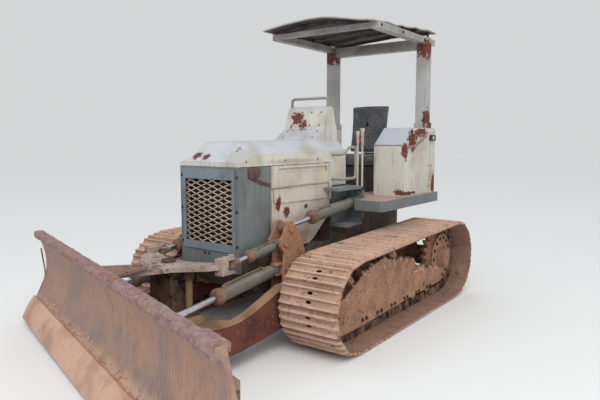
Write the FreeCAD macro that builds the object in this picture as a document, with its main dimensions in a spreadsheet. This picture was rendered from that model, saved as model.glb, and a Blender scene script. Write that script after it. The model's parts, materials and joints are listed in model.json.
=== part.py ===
import FreeCAD, Part
import math
import os
import Sketcher

# Crawler bulldozer with a power-angle-tilt blade, millimetres.
# The frame: +X is the machine's left, -Y is forward, +Z is up. The origin lies on the ground,
# on the centre line, halfway between the idler axles and the sprocket axles.

os.makedirs("parts", exist_ok=True)
document = FreeCAD.newDocument("bulldozer")
Vector = FreeCAD.Vector

# Driving dimensions: name, value, what it measures.
DRIVING_SIZES = [
    ("idler_y", -925, "idler axle, along the machine"),
    ("sprocket_y", 925, "sprocket axle, along the machine"),
    ("idler_reach", 345, "idler axle to the grouser tips"),
    ("sprocket_reach", 370, "sprocket axle to the grouser tips"),
    ("track_outer_x", 1060, "outer end of the shoes"),
    ("shoe_width", 485, "length of a shoe across the machine"),
    ("shoe_count", 37, "shoes in a track"),
    ("grouser_height", 22, "grouser above the shoe plate"),
    ("shoe_plate", 10, "thickness of the shoe plate"),
    ("link_height", 78, "chain link from its rail to the shoe plate"),
    ("link_rail", 30, "thickness of one chain rail"),
    ("rail_gap", 70, "space between the two chain rails"),
    ("track_frame_plate", 14, "side plate of the track frame"),
    ("track_frame_half", 75, "track frame, half its width"),
    ("roller_radius", 74, "track roller"),
    ("roller_count", 5, "track rollers on each side"),
    ("first_roller_y", -620, "first track roller, along the machine"),
    ("roller_span", 1190, "first to last track roller"),
    ("carrier_y", -100, "carrier roller, along the machine"),
    ("carrier_radius", 45, "carrier roller"),
    ("sprocket_teeth", 25, "teeth of the sprocket"),
    ("sprocket_plate", 40, "thickness of the toothed ring"),
    ("drive_disc_radius", 225, "bolted disc on the sprocket"),
    ("drive_case_radius", 165, "final drive case beside the hull"),
    ("hull_half", 300, "main frame, half its width"),
    ("hull_front", -1305, "front of the main frame"),
    ("hull_rear", 1135, "rear of the main frame"),
    ("hull_belly", 350, "underside of the main frame"),
    ("engine_deck", 636, "top of the frame rails under the engine"),
    ("firewall_y", -165, "front of the transmission case"),
    ("case_top", 895, "top of the transmission case"),
    ("guard_half", 294, "radiator guard, half its width"),
    ("guard_front", -1335, "front of the radiator guard"),
    ("guard_rear", -975, "rear of the radiator guard"),
    ("guard_bottom", 550, "lowest edge of the radiator guard"),
    ("hood_line", 1310, "lower edge of the hood"),
    ("hood_top", 1495, "flat top of the hood"),
    ("hood_top_half", 205, "flat top of the hood, half its width"),
    ("sheet_metal", 6, "thickness of hood and covers"),
    ("cowl_rear", 85, "rear of the dash cowl"),
    ("cowl_top", 1800, "top of the dash cowl"),
    ("cowl_bottom", 1110, "lower edge of the dash cowl"),
    ("cover_split", 1135, "joint between upper and lower side panels"),
    ("deck_half", 745, "operator platform, half its width"),
    ("deck_front", -45, "front of the fenders"),
    ("deck_rear", 1130, "rear of the platform"),
    ("deck_top", 985, "top of the platform"),
    ("deck_depth", 90, "height of the platform's edge"),
    ("deck_plate", 10, "thickness of the platform's plate"),
    ("box_inner_x", 400, "inner side of a side tank"),
    ("box_outer_x", 705, "outer side of a side tank"),
    ("box_front", 425, "front of a side tank"),
    ("box_rear", 1128, "rear of a side tank"),
    ("box_shoulder", 1453, "front upper edge of a side tank"),
    ("box_top", 1615, "top of a side tank"),
    ("seat_half", 235, "seat, half its width"),
    ("seat_back_height", 505, "seat back, its height"),
    ("post_x", 540, "roll-over post, across the machine"),
    ("post_y", 1185.5, "roll-over post, along the machine"),
    ("post_size", 110, "roll-over post, its side"),
    ("post_top", 2520, "top of the roll-over posts"),
    ("roof_half", 570, "roof, half its width"),
    ("roof_front", -25, "front edge of the roof"),
    ("roof_rear", 1425, "rear edge of the roof"),
    ("roof_rise", 60, "crown of the roof above the posts"),
    ("pivot_y", 65, "push-frame pivot, along the machine"),
    ("pivot_z", 400, "push-frame pivot, height"),
    ("pivot_radius", 42, "push-frame pivot shaft"),
    ("running_gap", 0.3, "radial clearance at a pin"),
    ("seat_gap", 0.3, "clearance where one piece rests on another"),
    ("plate_gap", 80, "space between a pair of lift plates"),
    ("lift_plate", 22, "thickness of a lift plate"),
    ("tilt_ball", 32, "ball at the tilt cylinder's rear end, its radius"),
    ("arm_outer_x", 545, "push arm, outer side"),
    ("arm_width", 85, "push arm, thickness"),
    ("arm_front_top", 325, "top of the push frame at its front"),
    ("arm_front_bottom", 125, "underside of the push frame at its front"),
    ("ball_y", -2150, "blade pivot, along the machine"),
    ("ball_z", 225, "blade pivot, height"),
    ("blade_ahead", 268, "cutting edge ahead of the blade pivot"),
    ("blade_width", 3100, "blade, its whole width"),
    ("blade_height", 705, "blade, its height"),
    ("blade_plate", 14, "thickness of the moldboard"),
    ("blade_yaw", 17.3, "blade angle in degrees, left end forward"),
    ("blade_roll", 0.9, "blade tilt in degrees, left end low"),
    ("lug_x", 450, "angle cylinder's lug on the blade"),
    ("lug_back", 60, "angle cylinder's pin behind the blade pivot"),
    ("lug_z", 450, "angle cylinder's pin, height"),
    ("tower_y", -1725, "tilt tower on the push frame"),
    ("lever_z", 660, "tilt lever, height"),
    ("lever_plate", 30, "thickness of the tilt lever"),
    ("fork_x", 352, "tilt lever's fork pin, across"),
    ("fork_y", -1480, "tilt lever's fork pin, along"),
    ("lift_pin_y", -945, "lift cylinder's pin on the push frame, along"),
    ("lift_pin_z", 850, "lift cylinder's pin on the push frame, height"),
    ("lift_anchor_y", 35, "lift cylinder's pin on the tractor, along"),
    ("lift_anchor_z", 955, "lift cylinder's pin on the tractor, height"),
    ("lift_x", 398, "lift cylinder, across the machine"),
    ("tilt_anchor_y", -1005, "tilt cylinder's rear pin, along"),
    ("tilt_anchor_z", 745, "tilt cylinder's rear pin, height"),
    ("yoke_y", -985, "angle yoke's cross pin, along"),
    ("angle_anchor_y", -1062, "angle cylinder's rear pin, along"),
    ("angle_anchor_z", 553, "angle cylinder's rear pin, height"),
]

sheet = document.addObject("Spreadsheet::Sheet", "Sizes")
for row_number, (size_name, size_value, size_note) in enumerate(DRIVING_SIZES, start=1):
    sheet.set(f"A{row_number}", size_name)
    sheet.set(f"B{row_number}", str(size_value))
    sheet.set(f"C{row_number}", size_note)
    sheet.setAlias(f"B{row_number}", size_name)
document.recompute()


class Length:
    """A size, or a formula of sizes, kept both as a number and as the text that binds it."""

    def __init__(self, number, text):
        self.number = number
        self.text = text

    def __float__(self):
        return float(self.number)

    def __add__(self, other):
        other = as_length(other)
        return Length(self.number + other.number, f"({self.text} + {other.text})")

    def __radd__(self, other):
        return as_length(other) + self

    def __sub__(self, other):
        other = as_length(other)
        return Length(self.number - other.number, f"({self.text} - {other.text})")

    def __rsub__(self, other):
        return as_length(other) - self

    def __mul__(self, factor):
        factor = as_length(factor)
        return Length(self.number * factor.number, f"({self.text} * {factor.text})")

    def __rmul__(self, factor):
        return as_length(factor) * self

    def __truediv__(self, divisor):
        divisor = as_length(divisor)
        return Length(self.number / divisor.number, f"({self.text} / {divisor.text})")

    def __neg__(self):
        return Length(-self.number, f"(0 - {self.text})")


def as_length(value):
    if isinstance(value, Length):
        return value
    return Length(float(value), repr(float(value)))


class SizeBook:
    """Reads the sheet: sizes.deck_top is the size that the sheet calls deck_top."""

    def __getattr__(self, name):
        return Length(float(getattr(sheet, name)), f"Sizes.{name}")


sizes = SizeBook()


def millimetres(*values):
    return [float(value) for value in values]


def point(x, y, z):
    return Vector(float(x), float(y), float(z))


def bind(item, property_name, value):
    item.setExpression(property_name, as_length(value).text)


# Building blocks: primitives, sketched plates, turned pieces, booleans.

def box(name, low, high):
    """A box between two corners, each a triple of sizes."""
    item = document.addObject("Part::Box", name)
    for side, start, end in zip(("Length", "Width", "Height"), low, high):
        bind(item, side, as_length(end) - start)
    for axis, start in zip("xyz", low):
        bind(item, f"Placement.Base.{axis}", start)
    return item


AXIS_TURNS = {"x": ("y", 90.0), "y": ("x", -90.0), "z": ("z", 0.0)}
AXIS_VECTORS = {"x": Vector(1, 0, 0), "y": Vector(0, 1, 0), "z": Vector(0, 0, 1)}


def rod(name, axis, start, radius, length):
    """A cylinder that starts at a point and runs along a row axis."""
    item = document.addObject("Part::Cylinder", name)
    bind(item, "Radius", radius)
    bind(item, "Height", length)
    turn_axis, turn = AXIS_TURNS[axis]
    item.Placement = FreeCAD.Placement(Vector(), FreeCAD.Rotation(AXIS_VECTORS[turn_axis], turn))
    for side, place in zip("xyz", start):
        bind(item, f"Placement.Base.{side}", place)
    return item


def cone(name, axis, start, first_radius, last_radius, length):
    """A tapered turned piece that starts at a point and runs along a row axis."""
    item = document.addObject("Part::Cone", name)
    bind(item, "Radius1", first_radius)
    bind(item, "Radius2", last_radius)
    bind(item, "Height", length)
    turn_axis, turn = AXIS_TURNS[axis]
    item.Placement = FreeCAD.Placement(Vector(), FreeCAD.Rotation(AXIS_VECTORS[turn_axis], turn))
    for side, place in zip("xyz", start):
        bind(item, f"Placement.Base.{side}", place)
    return item


PLANE_ROLES = {"x": "YZ_Plane", "y": "XZ_Plane", "z": "XY_Plane"}


def plate(name, normal, outline, start, thickness, holes=()):
    """A flat plate: an outline of straight edges, sketched and padded along a row axis.

    The outline's points are (y, z), (x, z) or (x, y) for a plate across x, y or z.
    Each hole is a centre and a radius. A plate across y starts at its rear and runs forward.
    """
    body = document.addObject("PartDesign::Body", name)
    sketch = body.newObject("Sketcher::SketchObject", f"{name}_outline")
    planes = [item for item in body.Origin.OriginFeatures if item.Role == PLANE_ROLES[normal]]
    sketch.AttachmentSupport = (planes[0], [""])
    sketch.MapMode = "FlatFace"
    start = as_length(start)
    bind(sketch, "AttachmentOffset.Base.z", -start if normal == "y" else start)
    corners = [(as_length(first), as_length(second)) for first, second in outline]
    spots = [Vector(float(first), float(second), 0) for first, second in corners]
    for number, spot in enumerate(spots):
        sketch.addGeometry(Part.LineSegment(spot, spots[(number + 1) % len(spots)]))
    for number in range(len(spots)):
        following = (number + 1) % len(spots)
        sketch.addConstraint(Sketcher.Constraint("Coincident", number, 2, following, 1))
    for number, (first, second) in enumerate(corners):
        for kind, value in (("DistanceX", first), ("DistanceY", second)):
            constraint = Sketcher.Constraint(kind, -1, 1, number, 1, float(value))
            place = sketch.addConstraint(constraint)
            bind(sketch, f"Constraints[{place}]", value)
    for (first, second), radius in holes:
        centre = Vector(float(first), float(second), 0)
        circle = sketch.addGeometry(Part.Circle(centre, Vector(0, 0, 1), float(radius)))
        for kind, value in (("DistanceX", first), ("DistanceY", second)):
            place = sketch.addConstraint(Sketcher.Constraint(kind, -1, 1, circle, 3, float(value)))
            bind(sketch, f"Constraints[{place}]", value)
        place = sketch.addConstraint(Sketcher.Constraint("Radius", circle, float(radius)))
        bind(sketch, f"Constraints[{place}]", radius)
    pad = body.newObject("PartDesign::Pad", f"{name}_pad")
    pad.Profile = sketch
    bind(pad, "Length", thickness)
    body.Tip = pad
    return body


def fused(name, pieces):
    item = document.addObject("Part::MultiFuse", name)
    item.Shapes = pieces
    item.Refine = True
    return item


def cut(name, base, tools):
    tool = tools[0] if len(tools) == 1 else fused(f"{name}_tool", tools)
    item = document.addObject("Part::Cut", name)
    item.Base = base
    item.Tool = tool
    return item


def mirrored(name, source):
    item = document.addObject("Part::Mirroring", name)
    item.Source = source
    item.Normal = Vector(1, 0, 0)
    item.Base = Vector(0, 0, 0)
    return item


def together(name, pieces):
    """Like pieces that don't touch, kept as one group."""
    item = document.addObject("Part::Compound", name)
    item.Links = pieces
    return item


def both_sides(name, left_piece):
    return together(name, [left_piece, mirrored(f"{name}_right", left_piece)])


def shaped(name, shape):
    """A piece whose form comes from Part's own functions."""
    item = document.addObject("Part::Feature", name)
    item.Shape = shape
    return item


# Shapes from Part's own functions.

def wire_of(points):
    return Part.makePolygon(list(points) + [points[0]])


def face_of(points):
    return Part.Face(wire_of(points))


def united(shapes):
    return shapes[0].multiFuse(shapes[1:]).removeSplitter()


def mirror_shape(shape):
    return shape.mirror(Vector(), Vector(1, 0, 0))


def bent_tube(points, radius, bend):
    """A tube through points: an eight-sided section, its corners cut to short straight runs."""
    route = [points[0]]
    for before, corner, after in zip(points, points[1:], points[2:]):
        into = (corner - before).normalize()
        out = (after - corner).normalize()
        reach = bend * math.tan(into.getAngle(out) / 2)
        inner = reach * math.tan(math.pi / 8) / math.tan(math.pi / 4)
        first, last = corner - into * reach, corner + out * reach
        route += [first, corner - into * inner, corner + out * inner, last]
    route.append(points[-1])
    start = points[1] - points[0]
    across = start.cross(Vector(0.31, 0.17, 0.93)).normalize()
    beside = start.normalize().cross(across)
    ring = []
    for number in range(8):
        turn = (number + 0.5) * math.pi / 4
        ring.append(points[0] + (across * math.cos(turn) + beside * math.sin(turn)) * radius)
    path = Part.makePolygon(route)
    return path.makePipeShell([wire_of(ring)], True, False, 1)


# Undercarriage.

track_x = sizes.track_outer_x - sizes.shoe_width / 2
chain_depth = sizes.grouser_height + sizes.shoe_plate + sizes.link_height
pitch_depth = sizes.grouser_height + sizes.shoe_plate + sizes.link_height / 2


class TrackPath:
    """The loop of the chain's pins: flat on the ground, round both ends, and a rising top run."""

    def __init__(self):
        depth = float(pitch_depth)
        self.front = Vector(0, float(sizes.idler_y), float(sizes.idler_reach))
        self.rear = Vector(0, float(sizes.sprocket_y), float(sizes.sprocket_reach))
        self.front_radius = float(sizes.idler_reach) - depth
        self.rear_radius = float(sizes.sprocket_reach) - depth
        span = (self.rear - self.front).Length
        lean = math.asin((self.rear_radius - self.front_radius) / span)
        self.top_tilt = 2 * lean
        self.straight = span * math.cos(lean)
        self.rear_arc = self.rear_radius * (math.pi + self.top_tilt)
        self.front_arc = self.front_radius * (math.pi - self.top_tilt)
        self.length = 2 * self.straight + self.rear_arc + self.front_arc

    def place(self, distance):
        """The point at a distance along the loop, from the idler's foot towards the rear."""
        distance = distance % self.length
        if distance < self.straight:
            return self.front + Vector(0, distance, -self.front_radius)
        distance -= self.straight
        if distance < self.rear_arc:
            turn = distance / self.rear_radius
            return self.rear + Vector(0, math.sin(turn), -math.cos(turn)) * self.rear_radius
        distance -= self.rear_arc
        turn = math.pi + self.top_tilt
        if distance < self.straight:
            top = self.rear + Vector(0, math.sin(turn), -math.cos(turn)) * self.rear_radius
            return top + Vector(0, math.cos(turn), math.sin(turn)) * distance
        distance -= self.straight
        turn += distance / self.front_radius
        return self.front + Vector(0, math.sin(turn), -math.cos(turn)) * self.front_radius

    def pins(self):
        count = int(float(sizes.shoe_count))
        return [self.place(self.length * number / count) for number in range(count)]


track_path = TrackPath()

# Each grouser of a shoe: where its foot starts, its tip starts, its tip ends and its foot ends,
# as shares of the pitch from the shoe's middle.
GROUSERS = [(-0.49, -0.46, -0.38, -0.30), (-0.12, -0.05, 0.05, 0.12), (0.30, 0.38, 0.46, 0.49)]


def around_chain(local_points):
    """Points placed on every link: each is (share of the pitch, distance out of the pin line)."""
    pins = track_path.pins()
    placed = []
    for pin, following in zip(pins, pins[1:] + pins[:1]):
        along = (following - pin).normalize()
        outward = Vector(0, along.z, -along.y)
        middle = (pin + following) * 0.5
        pitch = (following - pin).Length
        for share, out in local_points:
            placed.append(middle + along * (share * pitch) + outward * out)
    return placed


def track_loop():
    """One chain with its shoes: two rails and the shoes' outline, in one solid."""
    half_link = float(sizes.link_height) / 2
    plate_out = half_link + float(sizes.shoe_plate)
    tip_out = plate_out + float(sizes.grouser_height)
    outline = []
    for foot_start, tip_start, tip_end, foot_end in GROUSERS:
        outline += [(foot_start, plate_out), (tip_start, tip_out), (tip_end, tip_out),
                    (foot_end, plate_out)]
    shoe_under = [(-0.49, half_link), (0.49, half_link)]
    rail_inside = [(-0.3, -half_link), (0.3, -half_link)]
    width, rail, gap = millimetres(sizes.shoe_width, sizes.link_rail, sizes.rail_gap)
    shoes = face_of(around_chain(outline)).cut(face_of(around_chain(shoe_under)))
    link_outside = [(-0.49, half_link + float(sizes.shoe_plate) / 2),
                    (0.49, half_link + float(sizes.shoe_plate) / 2)]
    chain = face_of(around_chain(link_outside)).cut(face_of(around_chain(rail_inside)))
    middle = float(track_x)
    belt = shoes.extrude(Vector(width, 0, 0))
    belt.translate(Vector(middle - width / 2, 0, 0))
    pieces = [belt]
    for start in (middle - gap / 2 - rail, middle + gap / 2):
        side = chain.extrude(Vector(rail, 0, 0))
        side.translate(Vector(start, 0, 0))
        pieces.append(side)
    return united(pieces)


def sprocket_ring():
    """The toothed ring of one sprocket, its teeth between the chain's rails."""
    teeth = int(float(sizes.sprocket_teeth))
    pitch_radius = float(sizes.sprocket_reach - pitch_depth)
    root = pitch_radius - float(sizes.link_height) / 2
    tip = pitch_radius + float(sizes.link_height) / 4
    shares = ((-0.5, root), (-0.28, root), (-0.12, tip), (0.12, tip), (0.28, root))
    outline = []
    for tooth in range(teeth):
        for share, radius in shares:
            turn = 2 * math.pi * (tooth + share) / teeth
            outline.append(Vector(0, math.cos(turn), math.sin(turn)) * radius)
    ring = face_of(outline).extrude(Vector(float(sizes.sprocket_plate), 0, 0))
    ring.translate(point(track_x - sizes.sprocket_plate / 2, sizes.sprocket_y,
                         sizes.sprocket_reach))
    return ring


def make_tracks():
    left = shaped("track_left", track_loop())
    right = mirrored("track_right", left)
    return [left, right]


def make_sprockets():
    ring = shaped("sprocket_ring", sprocket_ring())
    disc_start = track_x + sizes.sprocket_plate / 2
    disc_end = track_x + sizes.track_frame_half - sizes.track_frame_plate / 2
    centre = (sizes.sprocket_y, sizes.sprocket_reach)
    disc = rod("drive_disc", "x", (disc_start, *centre), sizes.drive_disc_radius,
               disc_end - disc_start - 4)
    rim = cone("drive_dish", "x", (disc_start, *centre), sizes.drive_disc_radius + 20,
               sizes.drive_disc_radius, (disc_end - disc_start) / 2)
    hub = cone("drive_hub", "x", (disc_end - 4, *centre), 105, 70, 60)
    left = fused("sprocket_left", [ring, disc, rim, hub])
    return both_sides("sprockets", left)


def make_idlers():
    centre = (sizes.idler_y, sizes.idler_reach)
    turn = math.pi * track_path.length / track_path.front_radius / float(sizes.shoe_count)
    chord = (sizes.idler_reach - pitch_depth) * math.cos(turn / (2 * math.pi))
    rim_radius = chord - sizes.link_height / 2 - sizes.seat_gap
    half = sizes.rail_gap / 2 + sizes.link_rail
    rim = rod("idler_rim", "x", (track_x - half, *centre), rim_radius, half * 2)
    flange = rod("idler_flange", "x", (track_x - sizes.rail_gap / 2 + 5, *centre),
                 rim_radius + 30, sizes.rail_gap - 10)
    dish_depth = half - 22
    outer_dish = rod("idler_dish", "x", (track_x + half - dish_depth, *centre),
                     rim_radius - 45, dish_depth)
    inner_dish = rod("idler_dish_inner", "x", (track_x - half, *centre),
                     rim_radius - 45, dish_depth)
    web = cut("idler_web", fused("idler_blank", [rim, flange]), [outer_dish, inner_dish])
    hub = rod("idler_hub", "x", (track_x - half, *centre), 62, half * 2)
    bore = rod("idler_bore", "x", (track_x - half - 5, *centre), 26 + sizes.running_gap,
               half * 2 + 10)
    left = cut("idler_left", fused("idler_solid", [web, hub]), [bore])
    return both_sides("idlers", left)


def frame_side_outline():
    """The side plate of a track frame, as (y, z) points from its front foot round."""
    return [
        (sizes.idler_y - 125, 120),
        (sizes.idler_y + 125, 112),
        (250, 140),
        (sizes.sprocket_y - 60, 150),
        (sizes.sprocket_y - 65, 262),
        (600, 330),
        (275, 345),
        (250, 458),
        (150, 478),
        (sizes.carrier_y - 55, 530),
        (-350, 572),
        (-590, 520),
        (sizes.idler_y + 45, 392),
        (sizes.idler_y - 115, 345),
    ]


def make_track_frames():
    half = sizes.track_frame_half
    thick = sizes.track_frame_plate
    outer = plate("frame_outer", "x", frame_side_outline(), track_x + half, thick)
    inner = plate("frame_inner", "x", frame_side_outline(), track_x - half - thick, thick)
    beam_outline = [
        (sizes.idler_y + 330, 285),
        (560, 285),
        (560, 335),
        (275, 350),
        (250, 455),
        (150, 475),
        (-350, 500),
        (-590, 480),
        (sizes.idler_y + 330, 420),
    ]
    beam = plate("frame_beam", "x", beam_outline, track_x - half, half * 2)
    pieces = [outer, inner, beam]
    last = int(float(sizes.roller_count)) - 1
    height = sizes.roller_radius + chain_depth + sizes.seat_gap
    for number in range(last + 1):
        place = sizes.first_roller_y + sizes.roller_span * (number / last)
        pieces.append(rod(f"roller_{number}", "x", (track_x - half, place, height),
                          sizes.roller_radius, half * 2))
    carrier_height = 2 * sizes.idler_reach - chain_depth - sizes.carrier_radius + 8
    pieces.append(rod("carrier_roller", "x", (track_x - 68, sizes.carrier_y, carrier_height),
                      sizes.carrier_radius, 136))
    pieces.append(box("carrier_post", (track_x - 12, sizes.carrier_y - 30, 480),
                      (track_x + 12, sizes.carrier_y + 30, carrier_height)))
    pieces.append(rod("idler_axle", "x", (track_x - half, sizes.idler_y, sizes.idler_reach),
                      26, half * 2))
    return both_sides("track_frames", fused("track_frame_left", pieces))


# Main frame, engine and bodywork.

def make_hull():
    half = sizes.hull_half
    outline = [
        (sizes.hull_front, sizes.guard_bottom + 16),
        (sizes.hull_front + 190, sizes.hull_belly + 40),
        (sizes.hull_front + 260, sizes.hull_belly),
        (sizes.hull_rear - 130, sizes.hull_belly),
        (sizes.hull_rear, sizes.hull_belly + 120),
        (sizes.hull_rear, sizes.case_top),
        (sizes.firewall_y, sizes.case_top),
        (sizes.firewall_y, sizes.engine_deck),
        (sizes.hull_front, sizes.engine_deck),
    ]
    main = plate("main_frame", "x", outline, -half, half * 2)
    pieces = [main]
    for side, start in (("left", half - 10), ("right", -half - 55)):
        pieces.append(rod(f"round_cover_{side}", "x", (start, -435, 545), 118, 65))
    bar = box("drawbar_plate", (-60, sizes.hull_rear - 120, 392), (60, sizes.hull_rear + 190, 430))
    hole = rod("drawbar_hole", "z", (0, sizes.hull_rear + 140, 380), 20, 60)
    pieces.append(cut("drawbar", bar, [hole]))
    return fused("hull", pieces)


def make_axles():
    """On each side of the hull, a pivot shaft for the frames and a final drive's case."""
    centre = (sizes.sprocket_y, sizes.sprocket_reach)
    start = sizes.hull_half + sizes.seat_gap
    shaft_end = track_x - sizes.track_frame_half - sizes.track_frame_plate
    shaft = rod("pivot_shaft", "x", (start, sizes.pivot_y, sizes.pivot_z), sizes.pivot_radius,
                shaft_end - start)
    case_end = track_x - sizes.shoe_width / 2 - 12
    spindle_end = track_x - sizes.sprocket_plate / 2
    case = rod("drive_case", "x", (start, *centre), sizes.drive_case_radius, case_end - start)
    spindle = rod("drive_spindle", "x", (start, *centre), 95, spindle_end - start)
    drive = fused("final_drive", [case, spindle])
    return together("axles", [shaft, drive, mirrored("pivot_shaft_right", shaft),
                              mirrored("final_drive_right", drive)])


def make_engine():
    return box("engine_block", (-175, sizes.guard_rear + 130, sizes.engine_deck + sizes.seat_gap),
               (175, sizes.firewall_y - 20, sizes.hood_line - 70))


GUARD_WALL = 10


def make_guard():
    """The radiator guard: a deep steel surround with a flanged face and a lower cross band."""
    half = sizes.guard_half
    wall = GUARD_WALL
    rise = sizes.hood_line
    bottom = sizes.engine_deck + 1
    outer = box("guard_shell", (-half, sizes.guard_front, bottom), (half, sizes.guard_rear, rise))
    inside = box("guard_inside", (-half + wall, sizes.guard_front + wall, bottom - 5),
                 (half - wall, sizes.guard_rear + 5, rise - wall))
    window = box("guard_window", (-half + 50, sizes.guard_front - 5, sizes.engine_deck + 95),
                 (half - 50, sizes.guard_front + wall + 5, rise - 60))
    surround = cut("guard_surround", outer, [inside, window])
    band_outline = [
        (sizes.guard_front, bottom),
        (sizes.guard_front, sizes.guard_bottom),
        (sizes.hull_front - 0.5, sizes.guard_bottom),
        (sizes.hull_front - 0.5, bottom),
    ]
    band = plate("guard_band", "x", band_outline, -half, half * 2)
    return fused("radiator_guard", [surround, band])


GRILLE_HALF = 262
GRILLE_OPENING = 236


def make_grille_frame():
    low = sizes.engine_deck + 60
    high = sizes.hood_line - 14
    outline = [(-GRILLE_HALF, low), (GRILLE_HALF, low), (GRILLE_HALF, high), (-GRILLE_HALF, high)]
    panel = plate("grille_panel", "y", outline, sizes.guard_front, 8)
    opening = box("grille_opening", (-GRILLE_OPENING, sizes.guard_front - 20, low + 58),
                  (GRILLE_OPENING, sizes.guard_front + 5, high - 78))
    return cut("grille_frame", panel, [opening])


def make_grille_mesh():
    """Expanded metal: two fans of slanted strands that cross into diamonds."""
    low = float(sizes.engine_deck) + 85
    high = float(sizes.hood_line) - 50
    half = GRILLE_OPENING + 24
    front = float(sizes.guard_front + GUARD_WALL + sizes.seat_gap)
    columns = 8
    step = 2 * half / columns
    rise = step * 0.62
    strand = 7
    thick = 5
    pane = Part.makeBox(2 * half, thick, high - low, Vector(-half, front, low))
    strands = []
    slope = math.atan2(rise, step)
    reach = 2 * half / math.cos(slope) + 2 * strand
    count = int((high - low + 2 * half * rise / step) / rise) + 1
    for number in range(count):
        height = low + (number + 0.5) * rise - 2 * half * rise / step
        strip = Part.makeBox(reach, thick, strand, Vector(-strand, 0, -strand / 2))
        strip.rotate(Vector(), Vector(0, 1, 0), -math.degrees(slope))
        strip.translate(Vector(-half, front, height))
        strands.append(strip)
        twin = strip.mirror(Vector(), Vector(1, 0, 0))
        strands.append(twin)
    lattice = united(strands).common(pane)
    rim = pane.cut(Part.makeBox(2 * half - 12, thick * 3, high - low - 12,
                                Vector(-half + 6, front - thick, low + 6)))
    return shaped("grille_mesh", united([lattice, rim]))


def make_radiator():
    return box("radiator_core", (-sizes.guard_half + 39, sizes.guard_front + 70,
                                 sizes.engine_deck + sizes.seat_gap),
               (sizes.guard_half - 39, sizes.guard_front + 170, sizes.hood_line - 30))


def hood_section(place, side, line, shoulder_half, shoulder, crown_half, crown, inset):
    """One cross section of the hood, from its lower right edge over the top."""
    return [
        Vector(-side + inset, place, line),
        Vector(-shoulder_half + inset, place, shoulder - inset * 0.4),
        Vector(-crown_half + inset * 0.6, place, crown - inset),
        Vector(crown_half - inset * 0.6, place, crown - inset),
        Vector(shoulder_half - inset, place, shoulder - inset * 0.4),
        Vector(side - inset, place, line),
    ]


def hood_form(inset):
    """The hood as a solid: a sloping nose, then a nearly level run to the cowl."""
    side, crown_half, line, top = millimetres(sizes.hull_half, sizes.hood_top_half,
                                              sizes.hood_line, sizes.hood_top)
    front, rear = float(sizes.guard_front), float(sizes.firewall_y) - 120
    line += 0.5
    sections = [
        hood_section(front + inset, side, line, side - 6, line + 22, crown_half - 20,
                     line + 34, inset),
        hood_section(front + 190, side, line, side - 10, line + 82, crown_half, top - 8, inset),
        hood_section(rear - inset, side, line, side - 4, line + 96, crown_half + 14, top + 6,
                     inset),
    ]
    wires = [wire_of(section) for section in sections]
    return Part.makeLoft(wires, True, True)


def make_hood():
    sheet_thickness = float(sizes.sheet_metal)
    outer = hood_form(0)
    inner = hood_form(sheet_thickness)
    inner.translate(Vector(0, 0, -0.01))
    return shaped("hood", outer.cut(inner))


def cowl_profile():
    """The dash cowl from the side, as (y, z) points from its front foot over the top."""
    joint = sizes.firewall_y - 119.5
    return [
        (sizes.firewall_y + 2, sizes.cowl_bottom),
        (sizes.firewall_y + 2, sizes.hood_line + 0.5),
        (joint, sizes.hood_line + 0.5),
        (joint, sizes.hood_top + 5),
        (sizes.firewall_y + 30, 1600),
        (sizes.firewall_y + 82, sizes.cowl_top - 30),
        (sizes.firewall_y + 115, sizes.cowl_top),
        (sizes.firewall_y + 160, sizes.cowl_top - 12),
        (sizes.cowl_rear - 22, 1590),
        (sizes.cowl_rear, 1390),
        (sizes.cowl_rear, sizes.cowl_bottom),
    ]


def make_cowl():
    """The dash cowl: full width at the hood, narrowing to the instrument panel on top."""
    half = sizes.hull_half
    block = plate("cowl_block", "x", cowl_profile(), -half, half * 2)
    taper = [
        (half + 1, sizes.cowl_top + 50),
        (sizes.hood_top_half + 5, sizes.cowl_top + 50),
        (sizes.hood_top_half + 12, sizes.cowl_top - 30),
        (sizes.hood_top_half + 14, sizes.hood_top),
        (half - 4, sizes.hood_line + 96),
        (half, sizes.hood_line + 2),
        (half + 1, sizes.hood_line + 2),
    ]
    rear = sizes.cowl_rear + 20
    depth = sizes.cowl_rear - sizes.firewall_y + 180
    left_wedge = plate("cowl_shoulder", "y", taper, rear, depth)
    right_wedge = mirrored("cowl_shoulder_right", left_wedge)
    hollow = box("cowl_hollow", (-sizes.hood_top_half + 20, sizes.firewall_y + 60,
                                 sizes.cowl_bottom - 5),
                 (sizes.hood_top_half - 20, sizes.cowl_rear - 12, sizes.hood_top + 60))
    return cut("dash_cowl", block, [left_wedge, right_wedge, hollow])


def make_side_covers():
    """Engine side covers: an upper panel with a sunk strip, and a lower one with a cut corner."""
    inner = sizes.hull_half - sizes.sheet_metal
    front = sizes.guard_rear + 2
    rear = sizes.firewall_y
    upper_outline = [(front, sizes.cover_split + 3), (rear, sizes.cover_split + 3),
                     (rear, sizes.hood_line - 4), (front, sizes.hood_line - 4)]
    upper = plate("cover_upper", "x", upper_outline, inner - 6, sizes.sheet_metal + 12)
    strip = box("cover_strip", (sizes.hull_half - 2, front + 40, sizes.hood_line - 62),
                (sizes.hull_half + 30, rear - 30, sizes.hood_line - 22))
    lower_outline = [
        (front, sizes.engine_deck + 20),
        (sizes.firewall_y - 320, sizes.engine_deck + 20),
        (sizes.firewall_y - 265, sizes.engine_deck + 45),
        (sizes.firewall_y - 8, sizes.case_top - 20),
        (sizes.firewall_y - 8, sizes.cover_split - 3),
        (front, sizes.cover_split - 3),
    ]
    lower = plate("cover_lower", "x", lower_outline, inner - 6, sizes.sheet_metal + 6)
    bridge = box("cover_stiffener", (inner - 6, front + 20, sizes.cover_split - 30),
                 (inner, rear - 30, sizes.cover_split + 30))
    left = fused("side_cover", [cut("cover_upper_sunk", upper, [strip]), lower, bridge])
    return both_sides("side_covers", left)


# Operator's station.

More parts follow.
